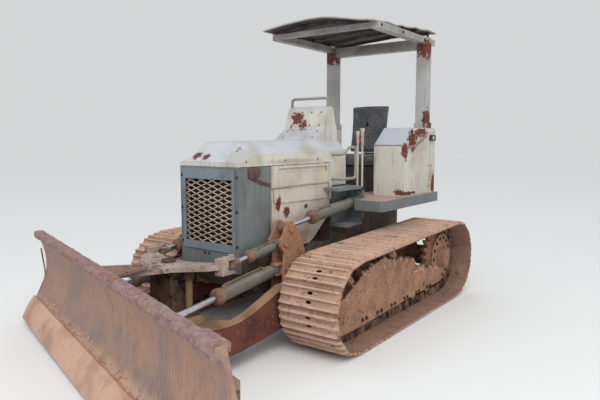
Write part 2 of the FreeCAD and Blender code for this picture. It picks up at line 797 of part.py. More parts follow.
def make_platform():
    half = sizes.deck_half
    top = sizes.deck_top
    plan = [
        (-half, sizes.deck_front + 25),
        (-half + 25, sizes.deck_front),
        (-sizes.hull_half - 172, sizes.deck_front),
        (-sizes.hull_half - 172, sizes.cowl_rear + 60),
        (sizes.hull_half + 172, sizes.cowl_rear + 60),
        (sizes.hull_half + 172, sizes.deck_front),
        (half - 25, sizes.deck_front),
        (half, sizes.deck_front + 25),
        (half, sizes.deck_rear),
        (-half, sizes.deck_rear),
    ]
    slab = plate("deck_slab", "z", plan, top - sizes.deck_depth, sizes.deck_depth)
    wall = sizes.deck_plate
    under = []
    for side, (low_x, high_x) in (("left", (sizes.hull_half + 20, half - wall)),
                                  ("right", (-half + wall, -sizes.hull_half - 20))):
        under.append(box(f"deck_under_{side}",
                         (low_x, sizes.cowl_rear + 60 + wall, top - sizes.deck_depth - 5),
                         (high_x, sizes.deck_rear - wall, top - wall)))
    under.append(box("deck_well", (-sizes.hull_half - 5, sizes.cowl_rear + 40, sizes.case_top - 5),
                     (sizes.hull_half + 5, sizes.deck_rear - wall, top - wall)))
    return cut("platform", slab, under)


def make_side_boxes():
    """The side tanks, with a sloping front upper panel."""
    outline = [
        (sizes.box_front, sizes.deck_top + 0.5),
        (sizes.box_rear, sizes.deck_top + 0.5),
        (sizes.box_rear, sizes.box_top - 20),
        (sizes.box_rear - 35, sizes.box_top),
        (sizes.box_front + 200, sizes.box_top),
        (sizes.box_front, sizes.box_shoulder),
    ]
    left = plate("side_box", "x", outline, sizes.box_inner_x,
                 sizes.box_outer_x - sizes.box_inner_x)
    return both_sides("side_boxes", left)


def make_seat():
    front = 560
    rear = 1040
    floor = sizes.deck_top + 0.5
    cushion_low = sizes.deck_top + 250
    base = box("seat_base", (-190, front + 60, floor), (190, rear - 30, cushion_low - 0.5))
    cushion_outline = [(front, cushion_low), (rear, cushion_low), (rear, cushion_low + 110),
                       (front + 30, cushion_low + 130), (front, cushion_low + 100)]
    cushion = plate("seat_cushion", "x", cushion_outline, -sizes.seat_half, sizes.seat_half * 2)
    back_low = cushion_low + 135
    back_top = back_low + sizes.seat_back_height
    back_outline = [(rear - 70, back_low), (rear + 30, back_low), (rear + 85, back_top - 15),
                    (rear + 20, back_top)]
    back = plate("seat_back", "x", back_outline, -sizes.seat_half, sizes.seat_half * 2)
    bracket = plate("seat_bracket", "x",
                    [(rear + 0.5, floor), (rear + 30, floor), (rear + 30, back_low - 0.5),
                     (rear + 0.5, back_low - 0.5)], -60, 120)
    return [fused("seat_frame", [base, bracket,
                                 box("seat_link", (-60, rear - 40, floor),
                                     (60, rear + 10, floor + 40))]), cushion, back]


def make_rops():
    """Two roll-over posts behind the tanks, a foot beam, a cross beam and cantilever beams."""
    post = sizes.post_size / 2
    pieces = []
    for side, middle in (("left", sizes.post_x), ("right", -sizes.post_x)):
        pieces.append(box(f"post_{side}", (middle - post, sizes.post_y - post,
                                           sizes.deck_top - sizes.deck_depth),
                          (middle + post, sizes.post_y + post, sizes.post_top)))
        pieces.append(box(f"roof_beam_{side}", (middle - 40, sizes.roof_front + 170,
                                                sizes.post_top - 60),
                          (middle + 40, sizes.roof_rear - 60, sizes.post_top)))
        pieces.append(box(f"post_foot_{side}", (middle - post - 14, sizes.post_y - post,
                                                sizes.box_top - 260),
                          (middle + post + 14, sizes.post_y + post + 12, sizes.box_top + 60)))
    pieces.append(box("foot_beam", (-sizes.post_x, sizes.post_y - post,
                                    sizes.deck_top - sizes.deck_depth),
                      (sizes.post_x, sizes.post_y + post - 30, sizes.deck_top - 10)))
    pieces.append(box("cross_beam", (-sizes.post_x, sizes.post_y - 45, sizes.post_top - 110),
                      (sizes.post_x, sizes.post_y + 45, sizes.post_top - 10)))
    pieces.append(box("front_beam", (-sizes.post_x, sizes.roof_front + 170,
                                     sizes.post_top - 50),
                      (sizes.post_x, sizes.roof_front + 220, sizes.post_top - 5)))
    return fused("rops_frame", pieces)


def make_roof():
    """The roof: a shallow crowned sheet with a turned-down edge."""
    half, front, rear, rise, post_top = millimetres(sizes.roof_half, sizes.roof_front,
                                                    sizes.roof_rear, sizes.roof_rise,
                                                    sizes.post_top)
    crown = post_top + rise
    edge = post_top + rise / 2
    under = post_top + 0.5
    profile = [Vector(-half, front, under), Vector(-half, front, edge),
               Vector(-half + 160, front, crown), Vector(half - 160, front, crown),
               Vector(half, front, edge), Vector(half, front, under)]
    slab = face_of(profile).extrude(Vector(0, rear - front, 0))
    lip = Part.makeBox(2 * half - 16, rear - front - 16, 22, Vector(-half + 8, front + 8,
                                                                    under - 0.01))
    ribs = [Part.makeBox(30, rear - front - 16, 22.2, Vector(place - 15, front + 8, under - 0.01))
            for place in (-float(sizes.post_x), 0, float(sizes.post_x))]
    return shaped("canopy_roof", united([slab.cut(lip)] + ribs))


def make_handrails():
    """The rail over the cowl, the looped rails beside it and the grab handles on the tanks."""
    tube = 13
    seat = float(sizes.seat_gap)
    top = float(sizes.cowl_top)
    half = float(sizes.hood_top_half) - 10
    y_rail = float(sizes.firewall_y) + 115
    over = bent_tube([Vector(-half, y_rail, top + seat), Vector(-half, y_rail, top + 70),
                      Vector(half, y_rail, top + 70), Vector(half, y_rail, top + seat)],
                     tube, 38)
    pieces = [over]
    side = float(sizes.hull_half) + seat
    loop_x = 410
    rear = float(sizes.cowl_rear) - 15
    front = float(sizes.firewall_y) + 30
    low, high = 1166, 1437
    loop = bent_tube([Vector(side, front, high - 60), Vector(loop_x, front, high - 60),
                      Vector(loop_x, front + 90, high), Vector(loop_x, rear, high),
                      Vector(loop_x, rear, low), Vector(loop_x, front, low),
                      Vector(side, front, low)], tube, 30)
    pieces += [loop, mirror_shape(loop)]
    outer = float(sizes.box_outer_x) + seat
    start, end = float(sizes.box_front) + 60, float(sizes.box_front) + 330
    grab = bent_tube([Vector(outer, start, 1440), Vector(outer + 75, start, 1440),
                      Vector(outer + 75, end, 1545), Vector(outer, end, 1545)], tube, 36)
    pieces += [grab, mirror_shape(grab)]
    return shaped("handrails", Part.makeCompound(pieces))


def make_levers():
    """Control levers on the consoles either side of the seat."""
    rods = []
    floor = float(sizes.deck_top) + 0.5
    for x, y, top in ((335, 235, 1560), (375, 250, 1585), (-350, 240, 1500)):
        stem = Part.makeCylinder(9, top - floor, Vector(x, y, floor))
        grip = Part.makeCone(14, 22, 42, Vector(x, y, top - 20))
        rods.append(united([stem, grip]))
    return shaped("control_levers", Part.makeCompound(rods))


def make_lift_brackets():
    """The open brackets that hold the lift cylinders: a bent flat bar, its mouth forward."""
    front = sizes.firewall_y - 120
    rear = sizes.lift_anchor_y + 100
    low = sizes.case_top - 140
    high = sizes.cowl_bottom - 10
    inner_x = sizes.hull_half + sizes.seat_gap
    outer_x = sizes.lift_x + 68
    wall = 26
    outline = [
        (front, high - wall), (front, high), (rear - 45, high), (rear, high - 45),
        (rear, low + 45), (rear - 45, low), (front + 120, low), (front + 120, low + wall),
        (rear - 55, low + wall), (rear - wall, low + 55), (rear - wall, high - 55),
        (rear - 55, high - wall),
    ]
    bar = plate("bracket_bar", "x", outline, inner_x, outer_x - inner_x)
    web = box("bracket_web", (inner_x, sizes.firewall_y + 4, low), (inner_x + 14, rear - 5, high))
    ears = []
    for number, ear_x in enumerate((sizes.lift_x - 48, sizes.lift_x + 34)):
        ears.append(box(f"bracket_ear_{number}",
                        (ear_x, sizes.lift_anchor_y - 30, sizes.lift_anchor_z - 45),
                        (ear_x + 14, rear - 10, sizes.lift_anchor_z + 45)))
    pin = rod("bracket_pin", "x", (sizes.lift_x - 48, sizes.lift_anchor_y, sizes.lift_anchor_z),
              20, 96)
    left = fused("lift_bracket", [bar, web, *ears, pin])
    return both_sides("lift_brackets", left)


# Push frame and blade.

def make_push_frame():
    """The push frame: two arms that close in to a nose, with eyes round the cross shaft."""
    outer, width = millimetres(sizes.arm_outer_x, sizes.arm_width)
    inner = outer - width
    pivot_y, pivot_z, ball_y = millimetres(sizes.pivot_y, sizes.pivot_z, sizes.ball_y)
    top, bottom = millimetres(sizes.arm_front_top, sizes.arm_front_bottom)
    corner_y = ball_y + 300
    nose_y = ball_y + 62
    side = [
        Vector(0, pivot_y + 62, pivot_z - 62), Vector(0, pivot_y + 62, pivot_z + 62),
        Vector(0, pivot_y - 100, pivot_z + 78), Vector(0, pivot_y - 1200, pivot_z + 62),
        Vector(0, pivot_y - 1400, top + 72), Vector(0, pivot_y - 1560, top + 20),
        Vector(0, pivot_y - 1680, top), Vector(0, nose_y - 20, top),
        Vector(0, nose_y - 20, bottom), Vector(0, pivot_y - 1650, bottom),
        Vector(0, pivot_y - 1100, bottom + 50), Vector(0, pivot_y - 100, pivot_z - 85),
    ]
    block = face_of(side).extrude(Vector(2 * outer + 40, 0, 0))
    block.translate(Vector(-outer - 20, 0, 0))
    plan_outer = [
        (outer, pivot_y + 62), (outer, corner_y + 150), (outer - 12, corner_y + 70),
        (outer - 45, corner_y), (160, nose_y + 18), (62, nose_y),
    ]
    plan_inner = [(inner, pivot_y + 62), (inner, corner_y + 230), (inner - 60, corner_y + 190)]
    right_outer = [(-x, y) for x, y in reversed(plan_outer)]
    right_inner = [(-x, y) for x, y in plan_inner]
    plan = plan_outer + right_outer + right_inner + list(reversed(plan_inner))
    form = face_of([Vector(x, y, 0) for x, y in plan]).extrude(Vector(0, 0, 900)).common(block)
    ball_z = float(sizes.ball_z)
    boss = Part.makeCylinder(66, 100, Vector(0, nose_y - 4, ball_z), Vector(0, 1, 0))
    shaft_hole = Part.makeCylinder(float(sizes.pivot_radius + sizes.running_gap), 2 * outer + 40,
                                   Vector(-outer - 20, pivot_y, pivot_z), Vector(1, 0, 0))
    trunnion_hole = Part.makeCylinder(32 + float(sizes.running_gap), 190,
                                      Vector(0, nose_y - 30, ball_z), Vector(0, 1, 0))
    return shaped("push_frame", united([form, boss]).cut(shaft_hole).cut(trunnion_hole))


def make_lift_plates():
    """Upright plates on the push frame, in pairs round the lift and tilt cylinders' eyes."""
    pin = (sizes.lift_pin_y, sizes.lift_pin_z)
    boss = (sizes.tilt_anchor_y, sizes.tilt_anchor_z)
    yoke = (sizes.yoke_y, sizes.angle_anchor_z)
    outline = [
        (pin[0] - 50, pin[1] + 22), (pin[0] - 22, pin[1] + 50), (pin[0] + 22, pin[1] + 50),
        (pin[0] + 52, pin[1] + 15), (-815, 760), (-765, 650), (-770, 560), (-830, 440),
        (-850, 330), (-1035, 330), (-1030, 500), (boss[0] - 15, boss[1] - 75),
        (boss[0] - 62, boss[1] - 20), (boss[0] - 62, boss[1] + 25), (boss[0] - 30, boss[1] + 60),
    ]
    thick = sizes.lift_plate
    inner_face = sizes.lift_x - sizes.plate_gap / 2
    outer_face = sizes.lift_x + sizes.plate_gap / 2
    hole = [(yoke, 16 + sizes.running_gap)]
    outer = plate("lift_plate_outer", "x", outline, outer_face, thick, hole)
    inner = plate("lift_plate_inner", "x", outline, inner_face - thick, thick, hole)
    spacer = box("lift_spacer", (inner_face, -1025, 335), (outer_face, -860, 385))
    stubs = []
    for number, (place, height) in enumerate((pin, boss)):
        stubs.append(rod(f"lift_stub_{number}", "x", (outer_face + thick - 1, place, height),
                         30, 12))
        stubs.append(rod(f"lift_stub_inner_{number}", "x", (inner_face - thick - 11, place,
                                                            height), 26, 12))
    reach = sizes.plate_gap / 2 - sizes.tilt_ball - sizes.seat_gap
    stubs.append(rod("tilt_seat_outer", "x", (outer_face - reach, *boss), 16, reach + 1))
    stubs.append(rod("tilt_seat_inner", "x", (inner_face - 1, *boss), 16, reach + 1))
    left = fused("lift_plate_pair", [outer, inner, spacer, *stubs])
    return both_sides("lift_plates", left)


def make_tower():
    """The tilt tower on the push frame's nose, with the lever's pivot pin on top."""
    low = sizes.arm_front_top
    high = sizes.lever_z - sizes.lever_plate / 2 - sizes.seat_gap
    outline = [(-125, low), (125, low), (95, high), (-95, high)]
    column = plate("tower_column", "y", outline, sizes.tower_y + 75, 150)
    pivot = rod("tower_pivot", "z", (0, sizes.tower_y, high - 5), 30, sizes.lever_plate + 24)
    cap = rod("tower_cap", "z", (0, sizes.tower_y, sizes.lever_z + sizes.lever_plate / 2 + 4),
              48, 14)
    post = rod("lever_post", "z", (165, sizes.tower_y + 30, low), 24, high - low - 60)
    nut = rod("lever_post_nut", "z", (165, sizes.tower_y + 30, high - 70), 40, 50)
    foot = box("tower_foot", (-170, sizes.tower_y - 90, low), (210, sizes.tower_y + 85, low + 14))
    return fused("tilt_tower", [column, pivot, cap, post, nut, foot])


def make_lever():
    """The tilt lever: a flat boomerang on the tower, forked round both tilt rods."""
    low = sizes.lever_z - sizes.lever_plate / 2
    high = low + sizes.lever_plate
    fork_x, fork_y = sizes.fork_x, sizes.fork_y
    outline = [
        (fork_x - 20, fork_y - 60), (fork_x + 30, fork_y - 110), (fork_x - 20, fork_y - 200),
        (170, sizes.tower_y - 110), (60, sizes.ball_y + 95), (34, sizes.ball_y + 40),
        (-34, sizes.ball_y + 40), (-60, sizes.ball_y + 95), (-170, sizes.tower_y - 110),
        (20 - fork_x, fork_y - 200), (-fork_x - 30, fork_y - 110), (20 - fork_x, fork_y - 60),
        (-110, sizes.tower_y + 90), (110, sizes.tower_y + 90),
    ]
    pivot_hole = [((0, sizes.tower_y), 30 + sizes.running_gap)]
    pieces = [plate("lever_web", "z", outline, low, sizes.lever_plate, pivot_hole)]
    pieces.append(rod("lever_tip", "z", (0, sizes.ball_y, low), 36, sizes.lever_plate))
    pieces.append(box("lever_neck", (-26, sizes.ball_y, low), (26, sizes.ball_y + 60, high)))
    inner, outer = fork_x - 27, fork_x + 40
    for side, (near, far) in (("left", (inner, outer)), ("right", (-outer, -inner))):
        middle = fork_x if side == "left" else -fork_x
        for level, start in (("lower", low - 42), ("upper", high + 24)):
            pieces.append(rod(f"fork_{side}_{level}", "z", (middle, fork_y, start), 27, 18))
            pieces.append(box(f"fork_arm_{side}_{level}", (near, fork_y - 130, start),
                              (far, fork_y, start + 18)))
        pieces.append(box(f"fork_root_{side}", (near, fork_y - 130, low - 42),
                          (far, fork_y - 66, high + 42)))
        pieces.append(rod(f"fork_cap_{side}", "z", (middle, fork_y, high + 41), 22, 12))
    return fused("tilt_lever", pieces)


def blade_placement():
    """The blade's own frame, seated at its pivot: angled, then rolled with the pivot."""
    yaw = FreeCAD.Rotation(Vector(0, 0, 1), -float(sizes.blade_yaw))
    place = Vector(0, float(sizes.ball_y), float(sizes.ball_z))
    return FreeCAD.Placement(place, pivot_roll().multiply(yaw))


def pivot_roll():
    """The roll of the pivot and the blade at rest, about the machine's long axis."""
    return FreeCAD.Rotation(Vector(0, 1, 0), float(sizes.blade_roll))


def seat_on_blade(item):
    item.Placement = blade_placement().multiply(item.Placement)
    return item


def blade_lift_height():
    """The blade's foot below its pivot, so that the lower corner rests on the ground."""
    half = float(sizes.blade_width) / 2
    roll = math.radians(float(sizes.blade_roll))
    return -float(sizes.ball_z) / math.cos(roll) + half * math.tan(roll)


def moldboard_arc(depth):
    """The moldboard's curve at a depth behind its face: foot, middle and lip, in (y, z)."""
    foot = blade_lift_height()
    ahead = -float(sizes.blade_ahead)
    height = float(sizes.blade_height)
    return [
        Vector(0, ahead + 73 + depth, foot + 105),
        Vector(0, ahead + 200 + depth, foot + 0.55 * height),
        Vector(0, ahead + 133 + depth, foot + height - 20),
    ]


def space_ahead(depth, width):
    """All that lies ahead of the moldboard's curve at a depth, to trim what backs it."""
    arc = moldboard_arc(depth)
    front = arc[1].y - 500
    sky, ground = arc[2].z + 300, arc[0].z - 300
    lean_up = Vector(0, arc[2].y - 150, sky)
    lean_down = Vector(0, arc[0].y - 150, ground)
    edges = [Part.Arc(*arc).toShape()]
    corners = [arc[2], lean_up, Vector(0, front, sky), Vector(0, front, ground), lean_down,
               arc[0]]
    for start, end in zip(corners, corners[1:]):
        edges.append(Part.LineSegment(start, end).toShape())
    block = Part.Face(Part.Wire(edges)).extrude(Vector(width, 0, 0))
    block.translate(Vector(-width / 2, 0, 0))
    return block


def make_moldboard():
    """The curved blade plate with its end plates and the heavy bar along its top."""
    width, plate_thickness = millimetres(sizes.blade_width, sizes.blade_plate)
    face = moldboard_arc(0)
    back = moldboard_arc(plate_thickness)
    edges = [
        Part.Arc(*face).toShape(),
        Part.LineSegment(face[2], back[2]).toShape(),
        Part.Arc(back[2], back[1], back[0]).toShape(),
        Part.LineSegment(back[0], face[0]).toShape(),
    ]
    shell = Part.Face(Part.Wire(edges)).extrude(Vector(width, 0, 0))
    shell.translate(Vector(-width / 2, 0, 0))
    lip = face[2]
    bar = face_of([Vector(0, lip.y - 8, lip.z - 22), Vector(0, lip.y - 8, lip.z + 20),
                   Vector(0, lip.y + 48, lip.z + 20), Vector(0, lip.y + 48, lip.z - 30)])
    top_bar = bar.extrude(Vector(width, 0, 0))
    top_bar.translate(Vector(-width / 2, 0, 0))
    end_outline = [
        Vector(0, face[0].y, face[0].z), Vector(0, face[1].y + 30, face[0].z),
        Vector(0, face[1].y + 45, face[1].z), Vector(0, lip.y + 48, lip.z),
        Vector(0, face[2].y - 60, lip.z), Vector(0, face[0].y - 60, face[0].z),
    ]
    pieces = [shell, top_bar]
    for start in (-width / 2, width / 2 - 18):
        end_plate = face_of(end_outline).extrude(Vector(18, 0, 0))
        end_plate.translate(Vector(start, 0, 0))
        pieces.append(end_plate.cut(space_ahead(0, width + 20)))
    return seat_on_blade(shaped("moldboard", united(pieces)))


def make_cutting_edge():
    """The bolted cutting edge, in line with the moldboard's foot."""
    width = float(sizes.blade_width)
    foot = blade_lift_height()
    ahead = -float(sizes.blade_ahead)
    joint = moldboard_arc(0)[0]
    outline = [Vector(0, ahead, foot), Vector(0, ahead + 24, foot),
               Vector(0, joint.y + 24, joint.z), Vector(0, joint.y, joint.z),
               Vector(0, joint.y + 40, joint.z + 58), Vector(0, joint.y + 22, joint.z + 66),
               Vector(0, joint.y - 20, joint.z + 6)]
    strip = face_of(outline).extrude(Vector(width, 0, 0))
    strip.translate(Vector(-width / 2, 0, 0))
    return seat_on_blade(shaped("cutting_edge", strip.common(space_ahead(0, width + 20))))


# The angle cylinders' lugs: the side, and the room under and over the rod's eye, which drops
# as its rod runs out and rises as it runs in.
LUG_ROOM = [(-1, 76, 40), (1, 40, 68)]
LUG_EAR = 14


def make_blade_back():
    """The blade's back: cross boxes, upright ribs, the pivot's ears and the cylinder lugs."""
    width, plate_thickness = millimetres(sizes.blade_width, sizes.blade_plate)
    foot = blade_lift_height()
    height = float(sizes.blade_height)
    lug_x, lug_back = millimetres(sizes.lug_x, sizes.lug_back)
    lug_height = float(sizes.lug_z) - float(sizes.ball_z)
    lever_height = float(sizes.lever_z) - float(sizes.ball_z)
    lip_y = moldboard_arc(0)[2].y + 48 + float(sizes.seat_gap)
    deep = -230
    reach = width - 60
    low_rear, high_rear = -60, -10
    beam_low, beam_high = foot + 110, foot + 0.62 * height
    solids = [
        Part.makeBox(reach, low_rear - deep, 105, Vector(-reach / 2, deep, beam_low)),
        Part.makeBox(reach, high_rear - deep, 90, Vector(-reach / 2, deep, beam_high)),
    ]
    rib = face_of([Vector(0, deep, foot + 106), Vector(0, low_rear + 10, foot + 106),
                   Vector(0, low_rear + 10, foot + 230), Vector(0, high_rear + 8, beam_high),
                   Vector(0, high_rear + 8, beam_high + 90), Vector(0, lip_y, foot + height - 60),
                   Vector(0, deep, foot + height - 60)])
    for place in (-1200, -760, -330, 330, 760, 1200):
        wall = rib.extrude(Vector(16, 0, 0))
        wall.translate(Vector(place - 8, 0, 0))
        solids.append(wall)
    for low in (-82, 60):
        solids.append(Part.makeBox(116, -deep, 22, Vector(-58, deep, low)))
        solids.append(Part.makeCylinder(58, 22, Vector(0, 0, low)))
    for side, room_below, room_above in LUG_ROOM:
        low, high = lug_height - room_below - LUG_EAR, lug_height + room_above
        for level in (low, high):
            solids.append(Part.makeBox(104, lug_back - deep, LUG_EAR,
                                       Vector(side * lug_x - 52, deep, level)))
            solids.append(Part.makeCylinder(52, LUG_EAR, Vector(side * lug_x, lug_back, level)))
        solids.append(Part.makeBox(104, -30 - deep, high + LUG_EAR - low,
                                   Vector(side * lug_x - 52, deep, low)))
        solids.append(Part.makeCylinder(24, 10, Vector(side * lug_x, lug_back,
                                                       high + LUG_EAR - 1)))
    for low in (lever_height - 45, lever_height + 30):
        solids.append(Part.makeBox(110, -deep, 15, Vector(-55, deep, low)))
        solids.append(Part.makeCylinder(55, 15, Vector(0, 0, low)))
    foot_of_ears = beam_high + 80
    solids.append(Part.makeBox(110, -30 - deep, lever_height - 44 - foot_of_ears,
                               Vector(-55, deep, foot_of_ears)))
    solids.append(Part.makeBox(110, -70 - deep, 90, Vector(-55, deep, lever_height - 45)))
    wedge = face_of([Vector(-145, lip_y, 0), Vector(145, lip_y, 0), Vector(145, lip_y + 30, 0),
                     Vector(42, 190, 0), Vector(-42, 190, 0), Vector(-145, lip_y + 30, 0)])
    wedge = wedge.extrude(Vector(0, 0, 18))
    wedge.translate(Vector(0, 0, lever_height + 45 - 18))
    solids += [wedge, Part.makeCylinder(24, 16, Vector(0, 140, lever_height + 44))]
    solid = united(solids).cut(space_ahead(plate_thickness, width + 20))
    board = document.getObject("moldboard").Shape.copy()
    board.Placement = FreeCAD.Placement()
    lip_space = Part.makeBox(width + 20, 300, 200,
                             Vector(-width / 2 - 10, lip_y - 300, foot + height - 70))
    block_space = Part.makeCylinder(56, 120, Vector(0, 0, -60))
    pin = Part.makeCylinder(22, 150, Vector(0, 0, -75))
    solid = solid.cut(board).cut(lip_space).cut(block_space).fuse(pin)
    return seat_on_blade(shaped("blade_back", solid.removeSplitter()))


def make_pivot_block():
    """The cross of the blade's pivot: bored for the blade's pin, with a trunnion in the nose."""
    block = Part.makeCylinder(50, 119.4, Vector(0, 0, -59.7))
    trunnion = Part.makeCylinder(32, 118, Vector(0, 38, 0), Vector(0, 1, 0))
    collar = Part.makeCylinder(46, 12, Vector(0, 40, 0), Vector(0, 1, 0))
    bore = Part.makeCylinder(22 + float(sizes.running_gap), 130, Vector(0, 0, -65))
    item = shaped("pivot_block", united([block, trunnion, collar]).cut(bore))
    item.Placement = FreeCAD.Placement(point(0, sizes.ball_y, sizes.ball_z), pivot_roll())
    return item


# Hydraulic cylinders.

def cylinder_pair(anchor, eye, form, tail=None):
    """The barrel and the rod of one cylinder, from its anchor's centre to its eye's centre.

    form holds the radii of the barrel and the rod, the distances from the anchor to where the
    barrel, its bore and the rod start and to the gland, the eyes' radius and width, and the
    direction of their pins. A tail, where one is given, stands in for the barrel's own eye.
    """
    (barrel_radius, rod_radius, neck, bore_at, inner_end, gland, eye_radius, eye_width,
     pin_axis) = form
    axis = (eye - anchor).normalize()
    length = (eye - anchor).Length
    if tail is None:
        tail = Part.makeCylinder(eye_radius, eye_width, anchor - pin_axis * (eye_width / 2),
                                 pin_axis)
    barrel = united([
        tail,
        Part.makeCylinder(eye_radius * 0.72, neck, anchor, axis),
        Part.makeCylinder(barrel_radius, gland - neck, anchor + axis * neck, axis),
        Part.makeCylinder(barrel_radius * 1.1, 34, anchor + axis * (gland - 34), axis),
    ])
    bore = Part.makeCylinder(rod_radius + float(sizes.running_gap), gland,
                             anchor + axis * bore_at, axis)
    rod_solid = united([
        Part.makeCylinder(rod_radius, length - inner_end - eye_radius * 0.5,
                          anchor + axis * inner_end, axis),
        Part.makeCylinder(eye_radius, eye_width, eye - pin_axis * (eye_width / 2), pin_axis),
    ])
    return barrel.cut(bore), rod_solid


def mirrored_pair(name, shapes):
    """Left and right barrel and rod of one kind of cylinder."""
    barrel, rod_solid = shapes
    made = []
    for kind, shape in (("barrel", barrel), ("rod", rod_solid)):
        made.append(shaped(f"{name}_{kind}_left", shape))
        made.append(shaped(f"{name}_{kind}_right", mirror_shape(shape)))
    return made


def blade_point(x, y, z, side):
    return blade_placement().multVec(Vector(side * x, y, z))


def make_lift_cylinders():
    anchor = point(sizes.lift_x, sizes.lift_anchor_y, sizes.lift_anchor_z)
    eye = point(sizes.lift_x, sizes.lift_pin_y, sizes.lift_pin_z)
    form = (48, 20, 52, 88, 262, 640, 40, 60, Vector(1, 0, 0))
    barrel, rod_solid = cylinder_pair(anchor, eye, form)
    hole = Part.makeCylinder(20 + float(sizes.running_gap), 200, anchor - Vector(100, 0, 0),
                             Vector(1, 0, 0))
    return mirrored_pair("lift", (barrel.cut(hole), rod_solid))


def make_tilt_cylinders():
    anchor = point(sizes.lift_x, sizes.tilt_anchor_y, sizes.tilt_anchor_z)
    eye = point(sizes.fork_x, sizes.fork_y, sizes.lever_z)
    form = (38, 20, 78, 98, 130, 330, 26, 46, Vector(0, 0, 1))
    ball = Part.makeSphere(float(sizes.tilt_ball), anchor, eye - anchor)
    return mirrored_pair("tilt", cylinder_pair(anchor, eye, form, ball))


def angle_cylinder(side):
    anchor = point(side * sizes.lift_x, sizes.angle_anchor_y, sizes.angle_anchor_z)
    lug_height = float(sizes.lug_z) - float(sizes.ball_z)
    eye = blade_point(float(sizes.lug_x), float(sizes.lug_back), lug_height, side)
    inner_end = 420 if side > 0 else 150
    form = (47, 21, 62, 88, inner_end, 650, 34, 42, Vector(0, 0, 1))
    barrel, rod_solid = cylinder_pair(anchor, eye, form)
    pin_hole = Part.makeCylinder(15 + float(sizes.running_gap), 100, anchor - Vector(0, 0, 50))
    return barrel.cut(pin_hole), rod_solid


def make_angle_cylinders():
    made = []
    for side, word in ((1, "left"), (-1, "right")):
        barrel, rod_solid = angle_cylinder(side)
        made.append(shaped(f"angle_barrel_{word}", barrel))
        made.append(shaped(f"angle_rod_{word}", rod_solid))
    return made


def make_angle_yokes():
    """The yokes behind the angle cylinders: a cross pin in the lift plates, a clevis in front."""
    cross = point(sizes.lift_x, sizes.yoke_y, sizes.angle_anchor_z)
    pin_y = float(sizes.angle_anchor_y)
    side_gap = 1
    width = float(sizes.plate_gap) - 2 * side_gap
    barrel = Part.makeCylinder(32, width, cross - Vector(width / 2, 0, 0), Vector(1, 0, 0))
    reach = float(sizes.plate_gap) + 2 * float(sizes.lift_plate) + 8
    pin = Part.makeCylinder(16, reach, cross - Vector(reach / 2, 0, 0), Vector(1, 0, 0))
    solids = [barrel, pin]
    for low in (-42, 29):
        solids.append(Part.makeBox(66, cross.y - pin_y, 13,
                                   Vector(cross.x - 33, pin_y, cross.z + low)))
        solids.append(Part.makeCylinder(33, 13, Vector(cross.x, pin_y, cross.z + low)))
    solids.append(Part.makeBox(66, 30, 84, Vector(cross.x - 33, cross.y - 33, cross.z - 42)))
    solids.append(Part.makeCylinder(15, 96, Vector(cross.x, pin_y, cross.z - 48)))
    yoke = united(solids)
    return [shaped("angle_yoke_left", yoke), shaped("angle_yoke_right", mirror_shape(yoke))]


# All pieces, in the order of the tractor, the push frame, the blade and the cylinders.
nodes = []
nodes.append(make_hull())
nodes.append(make_axles())
nodes.append(make_engine())
nodes.append(make_guard())
nodes.append(make_grille_frame())
nodes.append(make_grille_mesh())
nodes.append(make_radiator())
nodes.append(make_hood())
nodes.append(make_cowl())
nodes.append(make_side_covers())
nodes.append(make_platform())
nodes.append(make_side_boxes())
nodes += make_seat()
nodes.append(make_rops())
nodes.append(make_roof())
nodes.append(make_handrails())
nodes.append(make_levers())
nodes.append(make_lift_brackets())
nodes.append(make_track_frames())
nodes += make_tracks()
nodes.append(make_sprockets())
nodes.append(make_idlers())
nodes.append(make_push_frame())
nodes.append(make_lift_plates())
nodes.append(make_tower())
nodes.append(make_lever())
nodes.append(make_pivot_block())
nodes.append(make_moldboard())
nodes.append(make_blade_back())
nodes.append(make_cutting_edge())
nodes += make_lift_cylinders()
nodes += make_tilt_cylinders()
nodes += make_angle_yokes()
nodes += make_angle_cylinders()

document.recompute()

for item in document.Objects:
    for state in item.State:
        if state in ("Invalid", "Error"):
            raise RuntimeError(f"{item.Name} is {state}")

for node in nodes:
    node.Label = node.Name
    if node.Shape.isNull() or not node.Shape.isValid() or not node.Shape.Solids:
        raise RuntimeError(f"{node.Name} has no valid solid")
    print(node.Name, len(node.Shape.Solids), round(node.Shape.Volume / 1e6, 2))

for node in nodes:
    node.Shape.exportStep(f"parts/{node.Name}.step")
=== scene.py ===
# %% [markdown]
# # A worn crawler bulldozer
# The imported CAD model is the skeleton: every plate, pin and cylinder already stands in its
# place, in metres. This lesson dresses that skeleton with shoes, expanded metal, cushions,
# steel pipes and weathered paint, and leaves its sizes alone.
#
# The frame is: +X the machine's left, -Y forward, +Z up, the ground at z = 0.

import json
import math
import random

import bmesh
import bpy
from mathutils import Matrix, Vector, noise
from mathutils.bvhtree import BVHTree

